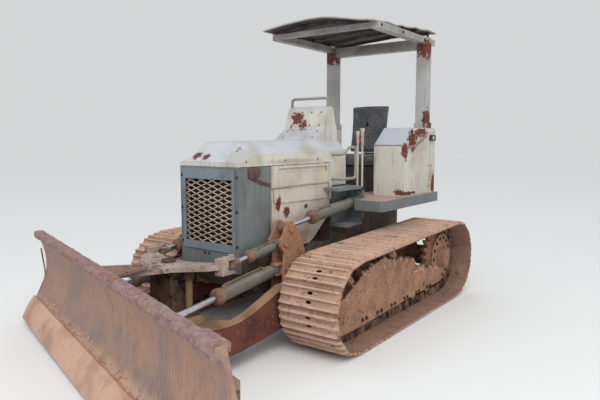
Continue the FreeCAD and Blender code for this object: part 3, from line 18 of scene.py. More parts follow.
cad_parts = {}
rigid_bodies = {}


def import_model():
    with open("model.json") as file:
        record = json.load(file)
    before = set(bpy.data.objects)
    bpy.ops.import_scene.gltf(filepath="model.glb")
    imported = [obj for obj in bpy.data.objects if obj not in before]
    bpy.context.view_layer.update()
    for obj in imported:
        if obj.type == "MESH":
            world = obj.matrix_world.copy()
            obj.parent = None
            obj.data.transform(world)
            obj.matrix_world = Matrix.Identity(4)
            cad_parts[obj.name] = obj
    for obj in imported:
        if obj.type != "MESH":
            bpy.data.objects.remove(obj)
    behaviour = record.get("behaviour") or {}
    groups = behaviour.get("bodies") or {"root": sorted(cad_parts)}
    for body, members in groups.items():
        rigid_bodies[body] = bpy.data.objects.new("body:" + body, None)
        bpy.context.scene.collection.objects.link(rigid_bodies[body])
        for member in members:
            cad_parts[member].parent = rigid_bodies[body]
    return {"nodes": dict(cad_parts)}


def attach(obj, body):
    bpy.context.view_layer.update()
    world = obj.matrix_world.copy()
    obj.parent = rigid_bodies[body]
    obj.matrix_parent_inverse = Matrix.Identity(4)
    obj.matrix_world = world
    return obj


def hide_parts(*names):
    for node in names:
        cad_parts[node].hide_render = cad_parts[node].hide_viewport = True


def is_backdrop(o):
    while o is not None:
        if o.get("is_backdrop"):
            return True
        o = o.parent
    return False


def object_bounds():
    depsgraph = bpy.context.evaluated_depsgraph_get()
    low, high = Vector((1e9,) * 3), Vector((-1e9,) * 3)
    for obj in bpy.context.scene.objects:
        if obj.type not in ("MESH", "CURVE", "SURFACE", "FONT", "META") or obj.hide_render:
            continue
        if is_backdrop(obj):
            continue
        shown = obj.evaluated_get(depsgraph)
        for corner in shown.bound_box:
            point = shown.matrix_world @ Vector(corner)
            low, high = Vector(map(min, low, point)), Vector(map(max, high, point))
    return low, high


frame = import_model()
cad = frame["nodes"]
cad_low, cad_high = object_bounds()


def rounded(values):
    return [round(value, 3) for value in values]


def added(name, data):
    """A new object that holds a mesh, curve, lamp or camera, in the scene."""
    item = bpy.data.objects.new(name, data)
    bpy.context.scene.collection.objects.link(item)
    return item


print("CAD nodes:", len(cad), "box:", rounded(cad_low), rounded(cad_high))

# %% [markdown]
# ## The camera
# The photograph was taken standing, from ahead of the left track. Its place was solved from
# known corners of the machine, so the render lies over the photograph. A lens is the focal
# length in pixels times the sensor's width over the picture's width.

# %% Camera
PICTURE_WIDTH = 600
FOCAL_PIXELS = 562.46
SENSOR = 36.0


def stand_camera(place, azimuth, looking_down):
    """A camera at a place, turned from straight ahead (+Y) by an azimuth, tipped downwards."""
    lens_data = bpy.data.cameras.new("camera")
    lens_data.sensor_width = SENSOR
    lens_data.lens = FOCAL_PIXELS * SENSOR / PICTURE_WIDTH
    lens_data.clip_end = 200.0
    camera = added("camera", lens_data)
    camera.location = place
    camera.rotation_euler = (math.radians(90.0 - looking_down), 0.0, math.radians(azimuth))
    bpy.context.scene.camera = camera
    return lens_data.lens


print("lens:", round(stand_camera((2.94, -4.245, 1.50), 36.01, 6.08), 2), "mm")

# %% [markdown]
# ## Light and floor
# A machine this size is photographed under a plain, soft sky. The world gives most of the
# light, and one wide lamp gives the forms a lighter side. The camera sees a paler backdrop
# than the light the world gives, through Light Path, so no extra light falls on the paint.

# %% Light and floor
BACKDROP = (0.66, 0.665, 0.67, 1.0)
SKY_STRENGTH = 0.80


def paint_world():
    world = bpy.data.worlds.new("sky")
    world.use_nodes = True
    tree = world.node_tree
    output = tree.nodes["World Output"]
    light = tree.nodes["Background"]
    light.inputs["Color"].default_value = (0.95, 0.98, 1.0, 1.0)
    light.inputs["Strength"].default_value = SKY_STRENGTH
    seen = tree.nodes.new("ShaderNodeBackground")
    seen.inputs["Color"].default_value = BACKDROP
    seen.inputs["Strength"].default_value = 1.0
    rays = tree.nodes.new("ShaderNodeLightPath")
    looking = rays.outputs["Is Camera Ray"]
    for kind in ("Is Glossy Ray", "Is Transmission Ray"):
        either = tree.nodes.new("ShaderNodeMath")
        either.operation = "MAXIMUM"
        tree.links.new(looking, either.inputs[0])
        tree.links.new(rays.outputs[kind], either.inputs[1])
        looking = either.outputs[0]
    blend = tree.nodes.new("ShaderNodeMixShader")
    tree.links.new(looking, blend.inputs[0])
    tree.links.new(light.outputs[0], blend.inputs[1])
    tree.links.new(seen.outputs[0], blend.inputs[2])
    tree.links.new(blend.outputs[0], output.inputs["Surface"])
    bpy.context.scene.world = world


def hang_lamp(name, place, aim, size, watts):
    lamp = bpy.data.lights.new(name, "AREA")
    lamp.size = size
    lamp.energy = watts
    item = added(name, lamp)
    item.location = place
    item.rotation_euler = (Vector(aim) - Vector(place)).to_track_quat("-Z", "Y").to_euler()


def lay_floor(half):
    mesh = bpy.data.meshes.new("floor")
    mesh.from_pydata([(-half, -half, 0), (half, -half, 0), (half, half, 0), (-half, half, 0)],
                     [], [(0, 1, 2, 3)])
    floor = added("floor", mesh)
    paint = bpy.data.materials.new("floor_paint")
    paint.use_nodes = True
    shader = paint.node_tree.nodes["Principled BSDF"]
    shader.inputs["Base Color"].default_value = (0.86, 0.86, 0.85, 1.0)
    shader.inputs["Roughness"].default_value = 0.95
    shader.inputs["Specular IOR Level"].default_value = 0.1
    mesh.materials.append(paint)
    floor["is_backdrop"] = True


paint_world()
hang_lamp("wide_lamp", (4.5, -6.0, 7.5), (0, 0, 0.8), 6.0, 420.0)
lay_floor(60.0)
bpy.context.scene.view_settings.view_transform = "Standard"

# %% [markdown]
# ## A kit for paints and metals
# Every finish here is layered: a base coat, which in the paints holds painted light (a sky-lit
# colour on faces that look up, a shaded one on walls and undersides), then sun-bleached clouds,
# rain streaks, chips with rust in them, then dust. A small class holds one material and
# gives a method for each layer. All patterns read Object coordinates, in metres, because a
# finished piece's object sits at the origin: a rust patch can be put at its real place.

# %% The finish kit
def shade(red, green, blue):
    """A colour picked as the eye sees it, 0 to 255, made linear for the shader."""
    values = []
    for part in (red, green, blue):
        part = part / 255.0
        values.append(part / 12.92 if part <= 0.04045 else ((part + 0.055) / 1.055) ** 2.4)
    return (*values, 1.0)


SEAM_SOFT = 0.001


class Finish:
    """One material, built in layers. Each method returns a socket for the next layer."""

    def __init__(self, name, metallic=0.0, specular=0.4):
        self.material = bpy.data.materials.new(name)
        self.material.use_nodes = True
        self.tree = self.material.node_tree
        self.shader = self.tree.nodes["Principled BSDF"]
        self.shader.inputs["Metallic"].default_value = metallic
        self.shader.inputs["Specular IOR Level"].default_value = specular
        coordinates = self.tree.nodes.new("ShaderNodeTexCoord")
        self.place = coordinates.outputs["Object"]
        self.facing = coordinates.outputs["Normal"]

    def feed(self, socket, value):
        if isinstance(value, bpy.types.NodeSocket):
            self.tree.links.new(value, socket)
        else:
            socket.default_value = value

    def math(self, operation, first, second=0.0):
        node = self.tree.nodes.new("ShaderNodeMath")
        node.operation = operation
        self.feed(node.inputs[0], first)
        self.feed(node.inputs[1], second)
        return node.outputs[0]

    def vector(self, operation, first, second=(0, 0, 0), output="Vector"):
        node = self.tree.nodes.new("ShaderNodeVectorMath")
        node.operation = operation
        self.feed(node.inputs[0], first)
        self.feed(node.inputs[1], second)
        return node.outputs[output]

    def either(self, *masks):
        result = masks[0]
        for mask in masks[1:]:
            result = self.math("MAXIMUM", result, mask)
        return result

    def both(self, *masks):
        result = masks[0]
        for mask in masks[1:]:
            result = self.math("MULTIPLY", result, mask)
        return result

    def step(self, value, low, high):
        """0 at low, 1 at high, smooth between. Low may be the larger one."""
        node = self.tree.nodes.new("ShaderNodeMapRange")
        node.interpolation_type = "SMOOTHSTEP"
        self.feed(node.inputs["Value"], value)
        turned = low > high
        node.inputs["From Min"].default_value = min(low, high)
        node.inputs["From Max"].default_value = max(low, high)
        node.inputs["To Min"].default_value = 1.0 if turned else 0.0
        node.inputs["To Max"].default_value = 0.0 if turned else 1.0
        return node.outputs["Result"]

    def mix(self, share, first, second):
        node = self.tree.nodes.new("ShaderNodeMix")
        node.data_type = "RGBA"
        self.feed(node.inputs[0], share)
        self.feed(node.inputs[6], first)
        self.feed(node.inputs[7], second)
        return node.outputs[2]

    def blend(self, share, first, second):
        node = self.tree.nodes.new("ShaderNodeMix")
        node.data_type = "FLOAT"
        self.feed(node.inputs[0], share)
        self.feed(node.inputs[2], first)
        self.feed(node.inputs[3], second)
        return node.outputs[0]

    def over(self, colour, mask, tint, strength):
        """A tint laid over a colour where a mask is, at a strength."""
        return self.mix(self.math("MULTIPLY", mask, strength), colour, tint)

    def mapped(self, location, scale, source):
        mapping = self.tree.nodes.new("ShaderNodeMapping")
        mapping.inputs["Location"].default_value = location
        mapping.inputs["Scale"].default_value = scale
        self.feed(mapping.inputs["Vector"], source)
        return mapping.outputs[0]

    def lumps(self, size, stretch=(1, 1, 1), detail=3.0, rough=0.55, shift=0.0, source=None):
        """Noise from 0 to 1 with lumps of a size in metres, drawn out along the axes."""
        node = self.tree.nodes.new("ShaderNodeTexNoise")
        node.inputs["Scale"].default_value = 1.0
        node.inputs["Detail"].default_value = detail
        node.inputs["Roughness"].default_value = rough
        self.feed(node.inputs["Vector"],
                  self.mapped((shift, shift * 1.7, -shift),
                              [1.0 / (size * part) for part in stretch], source or self.place))
        return node.outputs[0]

    def cells(self, size):
        """Distance to the middle of scattered cells, for pits and grit."""
        node = self.tree.nodes.new("ShaderNodeTexVoronoi")
        node.inputs["Scale"].default_value = 1.0
        self.feed(node.inputs["Vector"], self.mapped((0, 0, 0), [1.0 / size] * 3, self.place))
        return node.outputs["Distance"]

    def part_of(self, source, axis):
        node = self.tree.nodes.new("ShaderNodeSeparateXYZ")
        self.feed(node.inputs[0], source)
        return node.outputs["XYZ".index(axis)]

    def along(self, direction, origin):
        """How far a point lies from an origin along a direction, in metres."""
        away = self.vector("SUBTRACT", self.place, origin)
        return self.vector("DOT_PRODUCT", away, direction, "Value")

    def joined(self, x, y, z):
        node = self.tree.nodes.new("ShaderNodeCombineXYZ")
        for socket, value in zip(node.inputs, (x, y, z)):
            self.feed(socket, value)
        return node.outputs[0]

    def near(self, centre, reach, ragged=0.5, full=0.90):
        """A patch with torn edges round a place; reach is its half size along x, y and z, and
        full is the share of it where the patch is whole."""
        away = self.vector("SUBTRACT", self.place, centre)
        length = self.vector("LENGTH", self.vector("DIVIDE", away, reach), output="Value")
        torn = self.lumps(max(reach) * 0.45, detail=9.0, rough=0.78)
        wander = self.math("MULTIPLY", self.math("SUBTRACT", torn, 0.5), ragged * 7.0)
        return self.step(self.math("ADD", length, wander), 1.0, full)

    def seam(self, low, high):
        """1 inside a box between two corners: a gap or a sunk line at a real place."""
        away = self.vector("SUBTRACT", self.place, [(a + b) / 2 for a, b in zip(low, high)])
        fits = []
        for axis, a, b in zip("XYZ", low, high):
            distance = self.math("ABSOLUTE", self.part_of(away, axis))
            fits.append(self.step(distance, (b - a) / 2 + SEAM_SOFT, (b - a) / 2))
        return self.both(*fits)

    def edges(self, width):
        """1 on convex and concave edges, from how far a rounded normal leaves the flat one."""
        bevel = self.tree.nodes.new("ShaderNodeBevel")
        bevel.samples = 4
        bevel.inputs["Radius"].default_value = width
        flat = self.tree.nodes.new("ShaderNodeNewGeometry")
        alike = self.vector("DOT_PRODUCT", bevel.outputs[0], flat.outputs["Normal"], "Value")
        return self.step(alike, 0.99, 0.80)

    def done(self, colour, roughness, relief=None, depth=0.002):
        self.feed(self.shader.inputs["Base Color"], colour)
        self.feed(self.shader.inputs["Roughness"], roughness)
        if relief is not None:
            bump = self.tree.nodes.new("ShaderNodeBump")
            bump.inputs["Distance"].default_value = depth
            bump.inputs["Strength"].default_value = 1.0
            self.feed(bump.inputs["Height"], relief)
            self.tree.links.new(bump.outputs[0], self.shader.inputs["Normal"])
        return self.material


RUST = shade(98, 52, 38)
RUST_LIGHT = shade(150, 88, 56)
MAROON = shade(92, 50, 48)
CLAY = shade(206, 172, 150)
CLAY_DARK = shade(156, 122, 104)
SEAM_DARK = shade(52, 44, 38)
print("rust:", [round(part, 3) for part in RUST])

# %% [markdown]
# ## Weathered paint
# Old paint keeps rain streaks of grime on its walls. Its colours on faces that look up and on
# walls and undersides are painted light: a sky-lit and a shaded copy of one paint, except on
# the deck, whose top colour is tan dust. The same recipe makes the off-white, the cream and
# the blue-grey: only its colours and amounts differ.
# Chips follow edges, found with a Bevel node, and the places that the photograph shows.

# %% Weathered paint
def weathered(name, top, wall, grime, chips=0.30, streaks=0.55, patches=(), rust=MAROON,
              roughness=0.55, speckle=0.5, stains_and_shade=(), seams=()):
    """A paint coat: top and wall colours with painted light and shade, grime, and each wear.

    patches are (centre, reach) of bare rust; stains and patches of painted shade are
    (centre, reach, colour); seams are (low corner, high corner); all at their real places
    in metres.
    """
    coat = Finish(name)
    # Painted light and shade: faces that look up take the sky-lit top colour, walls and
    # undersides the shaded wall colour.
    upward = coat.step(coat.part_of(coat.facing, "Z"), 0.35, 0.75)
    colour = coat.mix(upward, wall, top)
    clouds = coat.lumps(0.30, detail=4.0)
    colour = coat.over(colour, coat.step(clouds, 0.42, 0.70), grime, 0.45)
    rain = coat.lumps(0.018, stretch=(1, 1, 16), detail=3.0)
    gate = coat.lumps(0.22, shift=3.0)
    runs = coat.both(coat.step(rain, 0.50, 0.72), coat.step(gate, 0.38, 0.60))
    walls = coat.math("SUBTRACT", 1.0, upward)
    colour = coat.over(colour, coat.both(runs, walls), grime, streaks)
    spots = coat.both(coat.step(coat.lumps(0.011, detail=2.0), 0.60, 0.70),
                      coat.step(coat.lumps(0.16, shift=7.0), 0.46, 0.62))
    colour = coat.over(colour, spots, coat.mix(0.5, grime, rust), speckle)
    for centre, reach, tint in stains_and_shade:
        colour = coat.over(colour, coat.near(centre, reach, 0.3, 0.2), tint, 0.8)
    torn = coat.lumps(0.07, detail=9.0, rough=0.72, shift=1.3)
    brink = 0.735 - chips * 0.12
    flakes = coat.step(torn, brink, brink + 0.015)
    worn = coat.both(coat.edges(0.006), coat.step(coat.lumps(0.05, detail=5.0), 0.47, 0.56))
    bare = coat.either(flakes, worn, *[coat.near(centre, reach) for centre, reach in patches])
    tone = coat.mix(coat.step(coat.lumps(0.03, detail=6.0), 0.35, 0.65), rust, RUST)
    fresh = coat.step(coat.lumps(0.014, detail=7.0, rough=0.7, shift=4.0), 0.46, 0.62)
    tone = coat.over(tone, fresh, RUST_LIGHT, 0.55)
    colour = coat.over(colour, coat.step(torn, brink - 0.045, brink), RUST_LIGHT, 0.35)
    colour = coat.mix(bare, colour, tone)
    rough = coat.blend(bare, coat.blend(clouds, roughness - 0.08, roughness + 0.15), 0.92)
    relief = coat.math("SUBTRACT", coat.math("MULTIPLY", coat.lumps(0.010, detail=4.0), 0.12),
                       bare)
    for low, high in seams:
        gap = coat.seam(low, high)
        colour = coat.over(colour, gap, SEAM_DARK, 0.9)
        relief = coat.math("SUBTRACT", relief, coat.math("MULTIPLY", gap, 2.0))
    return coat.done(colour, rough, relief, 0.0012)


# In each coat below, the first colour is a sky-lit top and the second a shaded wall, painted
# light; the deck's first colour is tan dust.
OFF_WHITE = weathered(
    "off_white_paint", shade(190, 195, 202), shade(206, 202, 192), shade(152, 142, 122),
    chips=0.42, streaks=0.75, speckle=0.65,
    patches=[((-0.16, -1.27, 1.375), (0.05, 0.05, 0.035)),
             ((-0.06, -1.28, 1.37), (0.035, 0.05, 0.03)),
             ((0.19, -1.18, 1.41), (0.028, 0.05, 0.035)),
             ((0.245, -1.12, 1.40), (0.02, 0.04, 0.02)),
             ((-0.10, -0.13, 1.70), (0.07, 0.06, 0.06)),
             ((-0.02, -0.15, 1.64), (0.05, 0.05, 0.05)),
             ((-0.13, -0.17, 1.62), (0.06, 0.04, 0.03)),
             ((0.04, -0.12, 1.76), (0.05, 0.03, 0.02)),
             ((0.705, 0.60, 1.50), (0.03, 0.10, 0.10)),
             ((0.705, 0.80, 1.57), (0.03, 0.13, 0.04)),
             ((0.705, 0.46, 1.40), (0.03, 0.05, 0.09)),
             ((0.705, 1.10, 1.06), (0.03, 0.05, 0.09)),
             ((0.66, 0.425, 1.02), (0.05, 0.03, 0.03)),
             ((0.705, 0.55, 1.01), (0.03, 0.16, 0.018)),
             ((-0.26, -1.20, 1.42), (0.03, 0.08, 0.03)),
             ((0.54, 1.12, 1.61), (0.10, 0.03, 0.03))],
    seams=[((0.70, 0.998, 1.00), (0.71, 1.003, 1.485)),
           ((0.39, 0.42, 1.447), (0.71, 0.43, 1.452))],
    stains_and_shade=[((0.30, -0.05, 1.27), (0.05, 0.06, 0.09), shade(222, 196, 156)),
            ((0.705, 1.06, 1.12), (0.03, 0.12, 0.16), shade(178, 146, 118)),
            ((0.30, -0.70, 1.335), (0.06, 0.50, 0.030), shade(164, 156, 140)),
            ((0.26, -0.45, 1.42), (0.10, 0.22, 0.05), shade(176, 170, 154))])
# The posts' colours are set darker than their light grey-white paint, to their look in the
# canopy's shade: partly painted shade, with grime. The first stain darkens the beams under the
# roof: painted shade.
POST_PAINT = weathered(
    "post_paint", shade(160, 158, 158), shade(176, 176, 174), shade(126, 112, 98),
    chips=0.48, streaks=0.5, speckle=0.6,
    patches=[((0.60, 1.18, 1.70), (0.05, 0.09, 0.10)),
             ((0.56, 1.18, 2.41), (0.09, 0.10, 0.10)),
             ((-0.54, 1.18, 2.41), (0.09, 0.10, 0.10)),
             ((0.60, 1.17, 1.42), (0.05, 0.07, 0.05))],
    stains_and_shade=[((0.0, 0.70, 2.49), (0.95, 1.00, 0.09), shade(112, 102, 94)),
            ((0.56, 1.18, 2.33), (0.08, 0.08, 0.12), shade(140, 110, 90)),
            ((-0.54, 1.18, 2.33), (0.08, 0.08, 0.12), shade(140, 110, 90))])
CREAM = weathered(
    "cream_paint", shade(208, 203, 190), shade(206, 198, 182), shade(168, 146, 120),
    chips=0.42, streaks=0.6, speckle=0.5, rust=RUST,
    patches=[((0.306, -0.79, 0.945), (0.02, 0.040, 0.045)),
             ((0.306, -0.53, 0.965), (0.02, 0.030, 0.020)),
             ((0.306, -0.90, 1.01), (0.02, 0.030, 0.060))],
    stains_and_shade=[((0.31, -0.60, 0.72), (0.05, 0.35, 0.10), shade(150, 128, 108))])
BLUE_GREY = weathered(
    "blue_grey_paint", shade(132, 138, 138), shade(116, 124, 124), shade(88, 84, 74),
    chips=0.34, streaks=0.85, rust=shade(104, 66, 56), roughness=0.55,
    patches=[((0.30, -1.17, 1.26), (0.03, 0.07, 0.04))])
FRAME_BLUE = weathered(
    "frame_blue_paint", shade(136, 148, 152), shade(122, 136, 144), shade(92, 88, 80),
    chips=0.55, streaks=0.6, rust=shade(112, 72, 56), roughness=0.5)
DECK_PAINT = weathered(
    "deck_paint", shade(182, 158, 142), shade(112, 120, 122), shade(110, 94, 82),
    chips=0.45, streaks=0.8, rust=shade(104, 66, 56))
CYLINDER_PAINT = weathered(
    "cylinder_paint", shade(132, 128, 116), shade(112, 112, 104), shade(96, 80, 66),
    chips=0.40, streaks=0.4, rust=shade(108, 72, 54))
print("paints:", OFF_WHITE.name, CREAM.name, BLUE_GREY.name)

# %% [markdown]
# ## Clay, iron and bright steel
# Everything near the ground wears dried clay, rubbed off in patches, so its colour comes from
# large lumps and its relief from grit. On the shoes, painted shade darkens the valleys between
# the ribs and a painted highlight lightens their crests. Cylinder rods stay bright and smooth,
# because their seals wipe them at every stroke.

# %% Clay-covered iron and bright rods
GRIT = 0.022


def clay_covered(name, pale=CLAY, dark=CLAY_DARK, under=shade(128, 98, 88), cover=0.62,
                 depth=0.006, tints=(), rib_shade_and_highlight=False):
    """Dried clay over iron; tints are (centre, reach, colour) patches at real places.

    A coat with rib shade and highlight also reads the shoes' own attribute: painted shade in
    the valleys, a painted highlight on the crests.
    """
    coat = Finish(name, specular=0.2)
    broad = coat.lumps(0.22, detail=5.0, rough=0.6)
    fine = coat.lumps(0.028, detail=6.0, rough=0.68, shift=2.0)
    colour = coat.mix(coat.step(broad, 0.36, 0.64), pale, coat.mix(0.5, pale, dark))
    colour = coat.over(colour, coat.step(fine, 0.50, 0.66), dark, 0.75)
    rubbed = coat.step(coat.lumps(0.09, detail=7.0, rough=0.7, shift=5.0), cover, cover + 0.05)
    colour = coat.mix(rubbed, colour, under)
    worn = coat.both(coat.edges(0.005), coat.step(coat.lumps(0.06, shift=8.0), 0.40, 0.55))
    colour = coat.over(colour, worn, shade(120, 98, 92), 0.6)
    for centre, reach, tint in tints:
        colour = coat.over(colour, coat.near(centre, reach, 0.1), tint, 0.8)
    if rib_shade_and_highlight:
        rib = coat.tree.nodes.new("ShaderNodeAttribute")
        rib.attribute_name = "rib"
        height = rib.outputs["Fac"]
        # Painted shade in the valleys between the shoe's ribs, a painted highlight on their
        # crests.
        colour = coat.over(colour, coat.step(height, 0.45, 0.0), shade(112, 82, 68), 0.62)
        colour = coat.over(colour, coat.step(height, 0.80, 1.0), shade(220, 190, 172), 0.45)
    stones = coat.step(coat.cells(GRIT), 0.42, 0.10)
    relief = coat.math("ADD", coat.math("MULTIPLY", fine, 0.8),
                       coat.math("MULTIPLY", stones, 0.35))
    relief = coat.math("SUBTRACT", relief, coat.math("MULTIPLY", rubbed, 0.4))
    return coat.done(colour, coat.blend(rubbed, 0.95, 0.7), relief, depth)


TRACK_CLAY = clay_covered("track_clay", cover=0.60, rib_shade_and_highlight=True)
CHAIN_CLAY = clay_covered("chain_clay", pale=shade(142, 110, 92), dark=shade(76, 56, 48),
                          under=shade(60, 46, 42), cover=0.50, depth=0.004)
FRAME_CLAY = clay_covered("frame_clay", pale=shade(184, 142, 116), dark=shade(122, 88, 70),
                          under=shade(96, 70, 60), depth=0.014)
LIFT_CLAY = clay_covered("lift_clay", pale=shade(188, 142, 112), dark=shade(134, 92, 68),
                         cover=0.66, depth=0.004)
TOWER_IRON = clay_covered("tower_iron", pale=shade(104, 86, 68), dark=shade(56, 44, 38),
                          under=shade(48, 42, 42), cover=0.52, depth=0.003,
                          tints=[((0.165, -1.695, 0.48), (0.048, 0.048, 0.17),
                                  shade(150, 126, 92))])
LEVER_STEEL = clay_covered("lever_steel", pale=shade(176, 160, 146), dark=shade(112, 94, 84),
                           under=shade(120, 96, 92), cover=0.56, depth=0.003)
PIPE_STEEL = clay_covered("pipe_steel", pale=shade(140, 118, 86), dark=shade(98, 76, 56),
                          under=shade(90, 70, 50), cover=0.6, depth=0.002)


def arm_steel():
    """The push frame: tan dust on what faces up, dark red-brown on its sides."""
    coat = Finish("arm_steel", specular=0.25)
    upward = coat.step(coat.part_of(coat.facing, "Z"), 0.25, 0.65)
    broad = coat.lumps(0.20, detail=5.0)
    dust = coat.mix(coat.step(broad, 0.4, 0.65), shade(168, 134, 104), shade(128, 98, 74))
    side = coat.mix(coat.step(broad, 0.4, 0.65), shade(112, 66, 52), shade(84, 52, 44))
    fine = coat.lumps(0.03, detail=6.0, rough=0.7)
    side = coat.mix(coat.step(fine, 0.56, 0.68), side, shade(150, 112, 86))
    colour = coat.mix(upward, side, dust)
    return coat.done(colour, 0.88, fine, 0.004)


# The rods' eyes and forks, at rest: x, y, z and how far their rust reaches.
ROD_EYES = [(0.352, -1.480, 0.660, 0.075), (0.398, -0.945, 0.850, 0.070),
            (0.448, -2.215, 0.450, 0.085)]


def bright_rod():
    """Chromed rods, rusty only round their eyes."""
    coat = Finish("bright_rod", metallic=1.0, specular=0.5)
    rings = coat.lumps(0.05, detail=5.0)
    colour = coat.mix(coat.step(rings, 0.5, 0.75), shade(206, 208, 212), shade(150, 146, 142))
    eyes = [coat.near((sign * x, y, z), (reach, reach, reach), 0.1)
            for sign in (1, -1) for x, y, z, reach in ROD_EYES]
    rusty = coat.either(*eyes)
    colour = coat.mix(rusty, colour, coat.mix(rings, shade(150, 120, 98), shade(104, 84, 72)))
    coat.feed(coat.shader.inputs["Metallic"], coat.math("SUBTRACT", 1.0, rusty))
    return coat.done(colour, coat.blend(rusty, coat.blend(rings, 0.14, 0.32), 0.85), None)


def plain_dark(name, first, second, roughness, size):
    coat = Finish(name)
    cloud = coat.lumps(size, detail=6.0)
    return coat.done(coat.mix(coat.step(cloud, 0.4, 0.65), first, second),
                     coat.blend(cloud, roughness - 0.1, roughness + 0.1), cloud, 0.001)


ARM_STEEL = arm_steel()
BRIGHT_ROD = bright_rod()
HULL_IRON = plain_dark("hull_iron", shade(74, 68, 60), shade(112, 90, 74), 0.8, 0.12)
ENGINE_IRON = plain_dark("engine_iron", shade(40, 38, 36), shade(66, 60, 54), 0.7, 0.06)
CORE_METAL = plain_dark("core_metal", shade(26, 22, 22), shade(48, 36, 32), 0.7, 0.05)
BOLT_IRON = plain_dark("bolt_iron", shade(54, 42, 40), shade(92, 66, 58), 0.75, 0.01)
SEAT_METAL = plain_dark("seat_metal", shade(52, 50, 50), shade(84, 72, 64), 0.7, 0.06)
print("finishes:", len(bpy.data.materials))

# %% [markdown]
# ## The blade's steel
# Soil climbs the curved face and polishes it in streaks that run up the blade, grey-purple
# where the steel is bare and orange-tan where clay stays. The streaks follow the blade's own
# direction, so a dot product along its length feeds the noise, not the world's X.

# %% Blade steel
BLADE_YAW = math.radians(17.3)
BALL = Vector((0.0, -2.15, 0.225))
BLADE_ALONG = Vector((math.cos(BLADE_YAW), -math.sin(BLADE_YAW), 0.0))


def blade_steel():
    coat = Finish("blade_steel", specular=0.35)
    across = coat.along(BLADE_ALONG, BALL)
    height = coat.part_of(coat.place, "Z")
    bend = coat.math("MULTIPLY", coat.lumps(0.7, detail=1.0), 0.22)
    warped = coat.joined(coat.math("ADD", across, bend),
                         coat.math("MULTIPLY", height, 0.07), 0.0)
    streak = coat.lumps(0.022, detail=7.0, rough=0.66, source=warped)
    fine = coat.lumps(0.006, detail=4.0, rough=0.6, source=warped, shift=4.0)
    broad = coat.lumps(0.34, detail=5.0, rough=0.6, shift=9.0)
    steel = coat.mix(coat.step(fine, 0.4, 0.65), shade(128, 106, 102), shade(152, 128, 120))
    tan = coat.mix(coat.step(fine, 0.4, 0.65), shade(178, 142, 122), shade(158, 122, 104))
    share = coat.step(coat.math("ADD", streak, coat.math("MULTIPLY", broad, 0.9)), 0.84, 1.10)
    colour = coat.mix(share, tan, steel)
    rust = coat.step(coat.math("ADD", coat.lumps(0.16, detail=8.0, rough=0.7, shift=6.0),
                               coat.math("MULTIPLY", streak, 0.2)), 0.68, 0.76)
    colour = coat.over(colour, rust, shade(160, 104, 82), 0.45)
    colour = coat.over(colour, coat.step(height, 0.26, 0.16), CLAY, 0.85)
    rough = coat.blend(share, 0.85, 0.55)
    return coat.done(colour, rough, coat.math("ADD", streak, fine), 0.002)


def edge_steel():
    """The cutting edge: paler, rubbed smooth, faint scratches along the travel."""
    coat = Finish("edge_steel", specular=0.35)
    across = coat.along(BLADE_ALONG, BALL)
    height = coat.part_of(coat.place, "Z")
    warped = coat.joined(across, coat.math("MULTIPLY", height, 0.3), 0.0)
    scratch = coat.lumps(0.03, detail=5.0, source=warped)
    broad = coat.lumps(0.3, detail=3.0)
    colour = coat.mix(coat.step(broad, 0.4, 0.65), shade(204, 166, 144), shade(176, 138, 118))
    colour = coat.over(colour, coat.step(scratch, 0.52, 0.7), shade(140, 112, 104), 0.4)
    return coat.done(colour, 0.7, scratch, 0.001)


def lip_steel():
    """The hammered lip: purple-brown iron with chips and a few rusty stretches."""
    coat = Finish("lip_steel", specular=0.3)
    chips = coat.lumps(0.035, detail=8.0, rough=0.7)
    colour = coat.mix(coat.step(chips, 0.40, 0.66), shade(158, 130, 124), shade(126, 98, 98))
    colour = coat.mix(coat.step(coat.lumps(0.12, detail=5.0), 0.56, 0.66), colour,
                      shade(150, 98, 76))
    return coat.done(colour, 0.8, chips, 0.008)


BLADE_STEEL = blade_steel()
EDGE_STEEL = edge_steel()
LIP_STEEL = lip_steel()
BACK_STEEL = clay_covered("back_steel", pale=shade(160, 132, 114), dark=shade(108, 84, 72),
                          under=shade(104, 82, 76), cover=0.58, depth=0.004)
print("blade finishes:", BLADE_STEEL.name, EDGE_STEEL.name, LIP_STEEL.name)

# %% [markdown]
# ## Finishes onto the CAD pieces
# A CAD piece whose form is right keeps its mesh and takes a finish in its material slots.

# %% Dress the CAD nodes
# Its dark wall colour is painted shade, for the underside of the roof sheet.
ROOF_STEEL = weathered("roof_steel", shade(150, 140, 128), shade(84, 78, 76),
                       shade(52, 46, 44), chips=0.7, streaks=0.5, rust=shade(84, 56, 46))
SIDES = ("left", "right")
DRESS = {
    OFF_WHITE: ["hood", "dash_cowl", "side_boxes", "control_levers"],
    POST_PAINT: ["rops_frame"],
    CREAM: ["side_covers"],
    BLUE_GREY: ["radiator_guard", "lift_brackets"],
    FRAME_BLUE: ["grille_frame"],
    DECK_PAINT: ["platform"],
    CYLINDER_PAINT: [f"{part}_{side}" for part in ("lift_barrel", "tilt_barrel", "angle_barrel")
                     for side in SIDES],
    TRACK_CLAY: ["track_left", "track_right"],
    FRAME_CLAY: ["track_frames", "sprockets", "idlers", "axles"],
    LIFT_CLAY: ["lift_plates"] + [f"angle_yoke_{side}" for side in SIDES],
    TOWER_IRON: ["tilt_tower", "pivot_block"],
    LEVER_STEEL: ["tilt_lever"],
    ARM_STEEL: ["push_frame"],
    BRIGHT_ROD: [f"{part}_{side}" for part in ("lift_rod", "tilt_rod", "angle_rod")
                 for side in SIDES],
    HULL_IRON: ["hull"],
    ENGINE_IRON: ["engine_block"],
    CORE_METAL: ["radiator_core", "grille_mesh"],
    SEAT_METAL: ["seat_frame", "seat_cushion", "seat_back", "handrails"],
    BLADE_STEEL: ["moldboard"],
    EDGE_STEEL: ["cutting_edge"],
    BACK_STEEL: ["blade_back"],
    ROOF_STEEL: ["canopy_roof"],
}


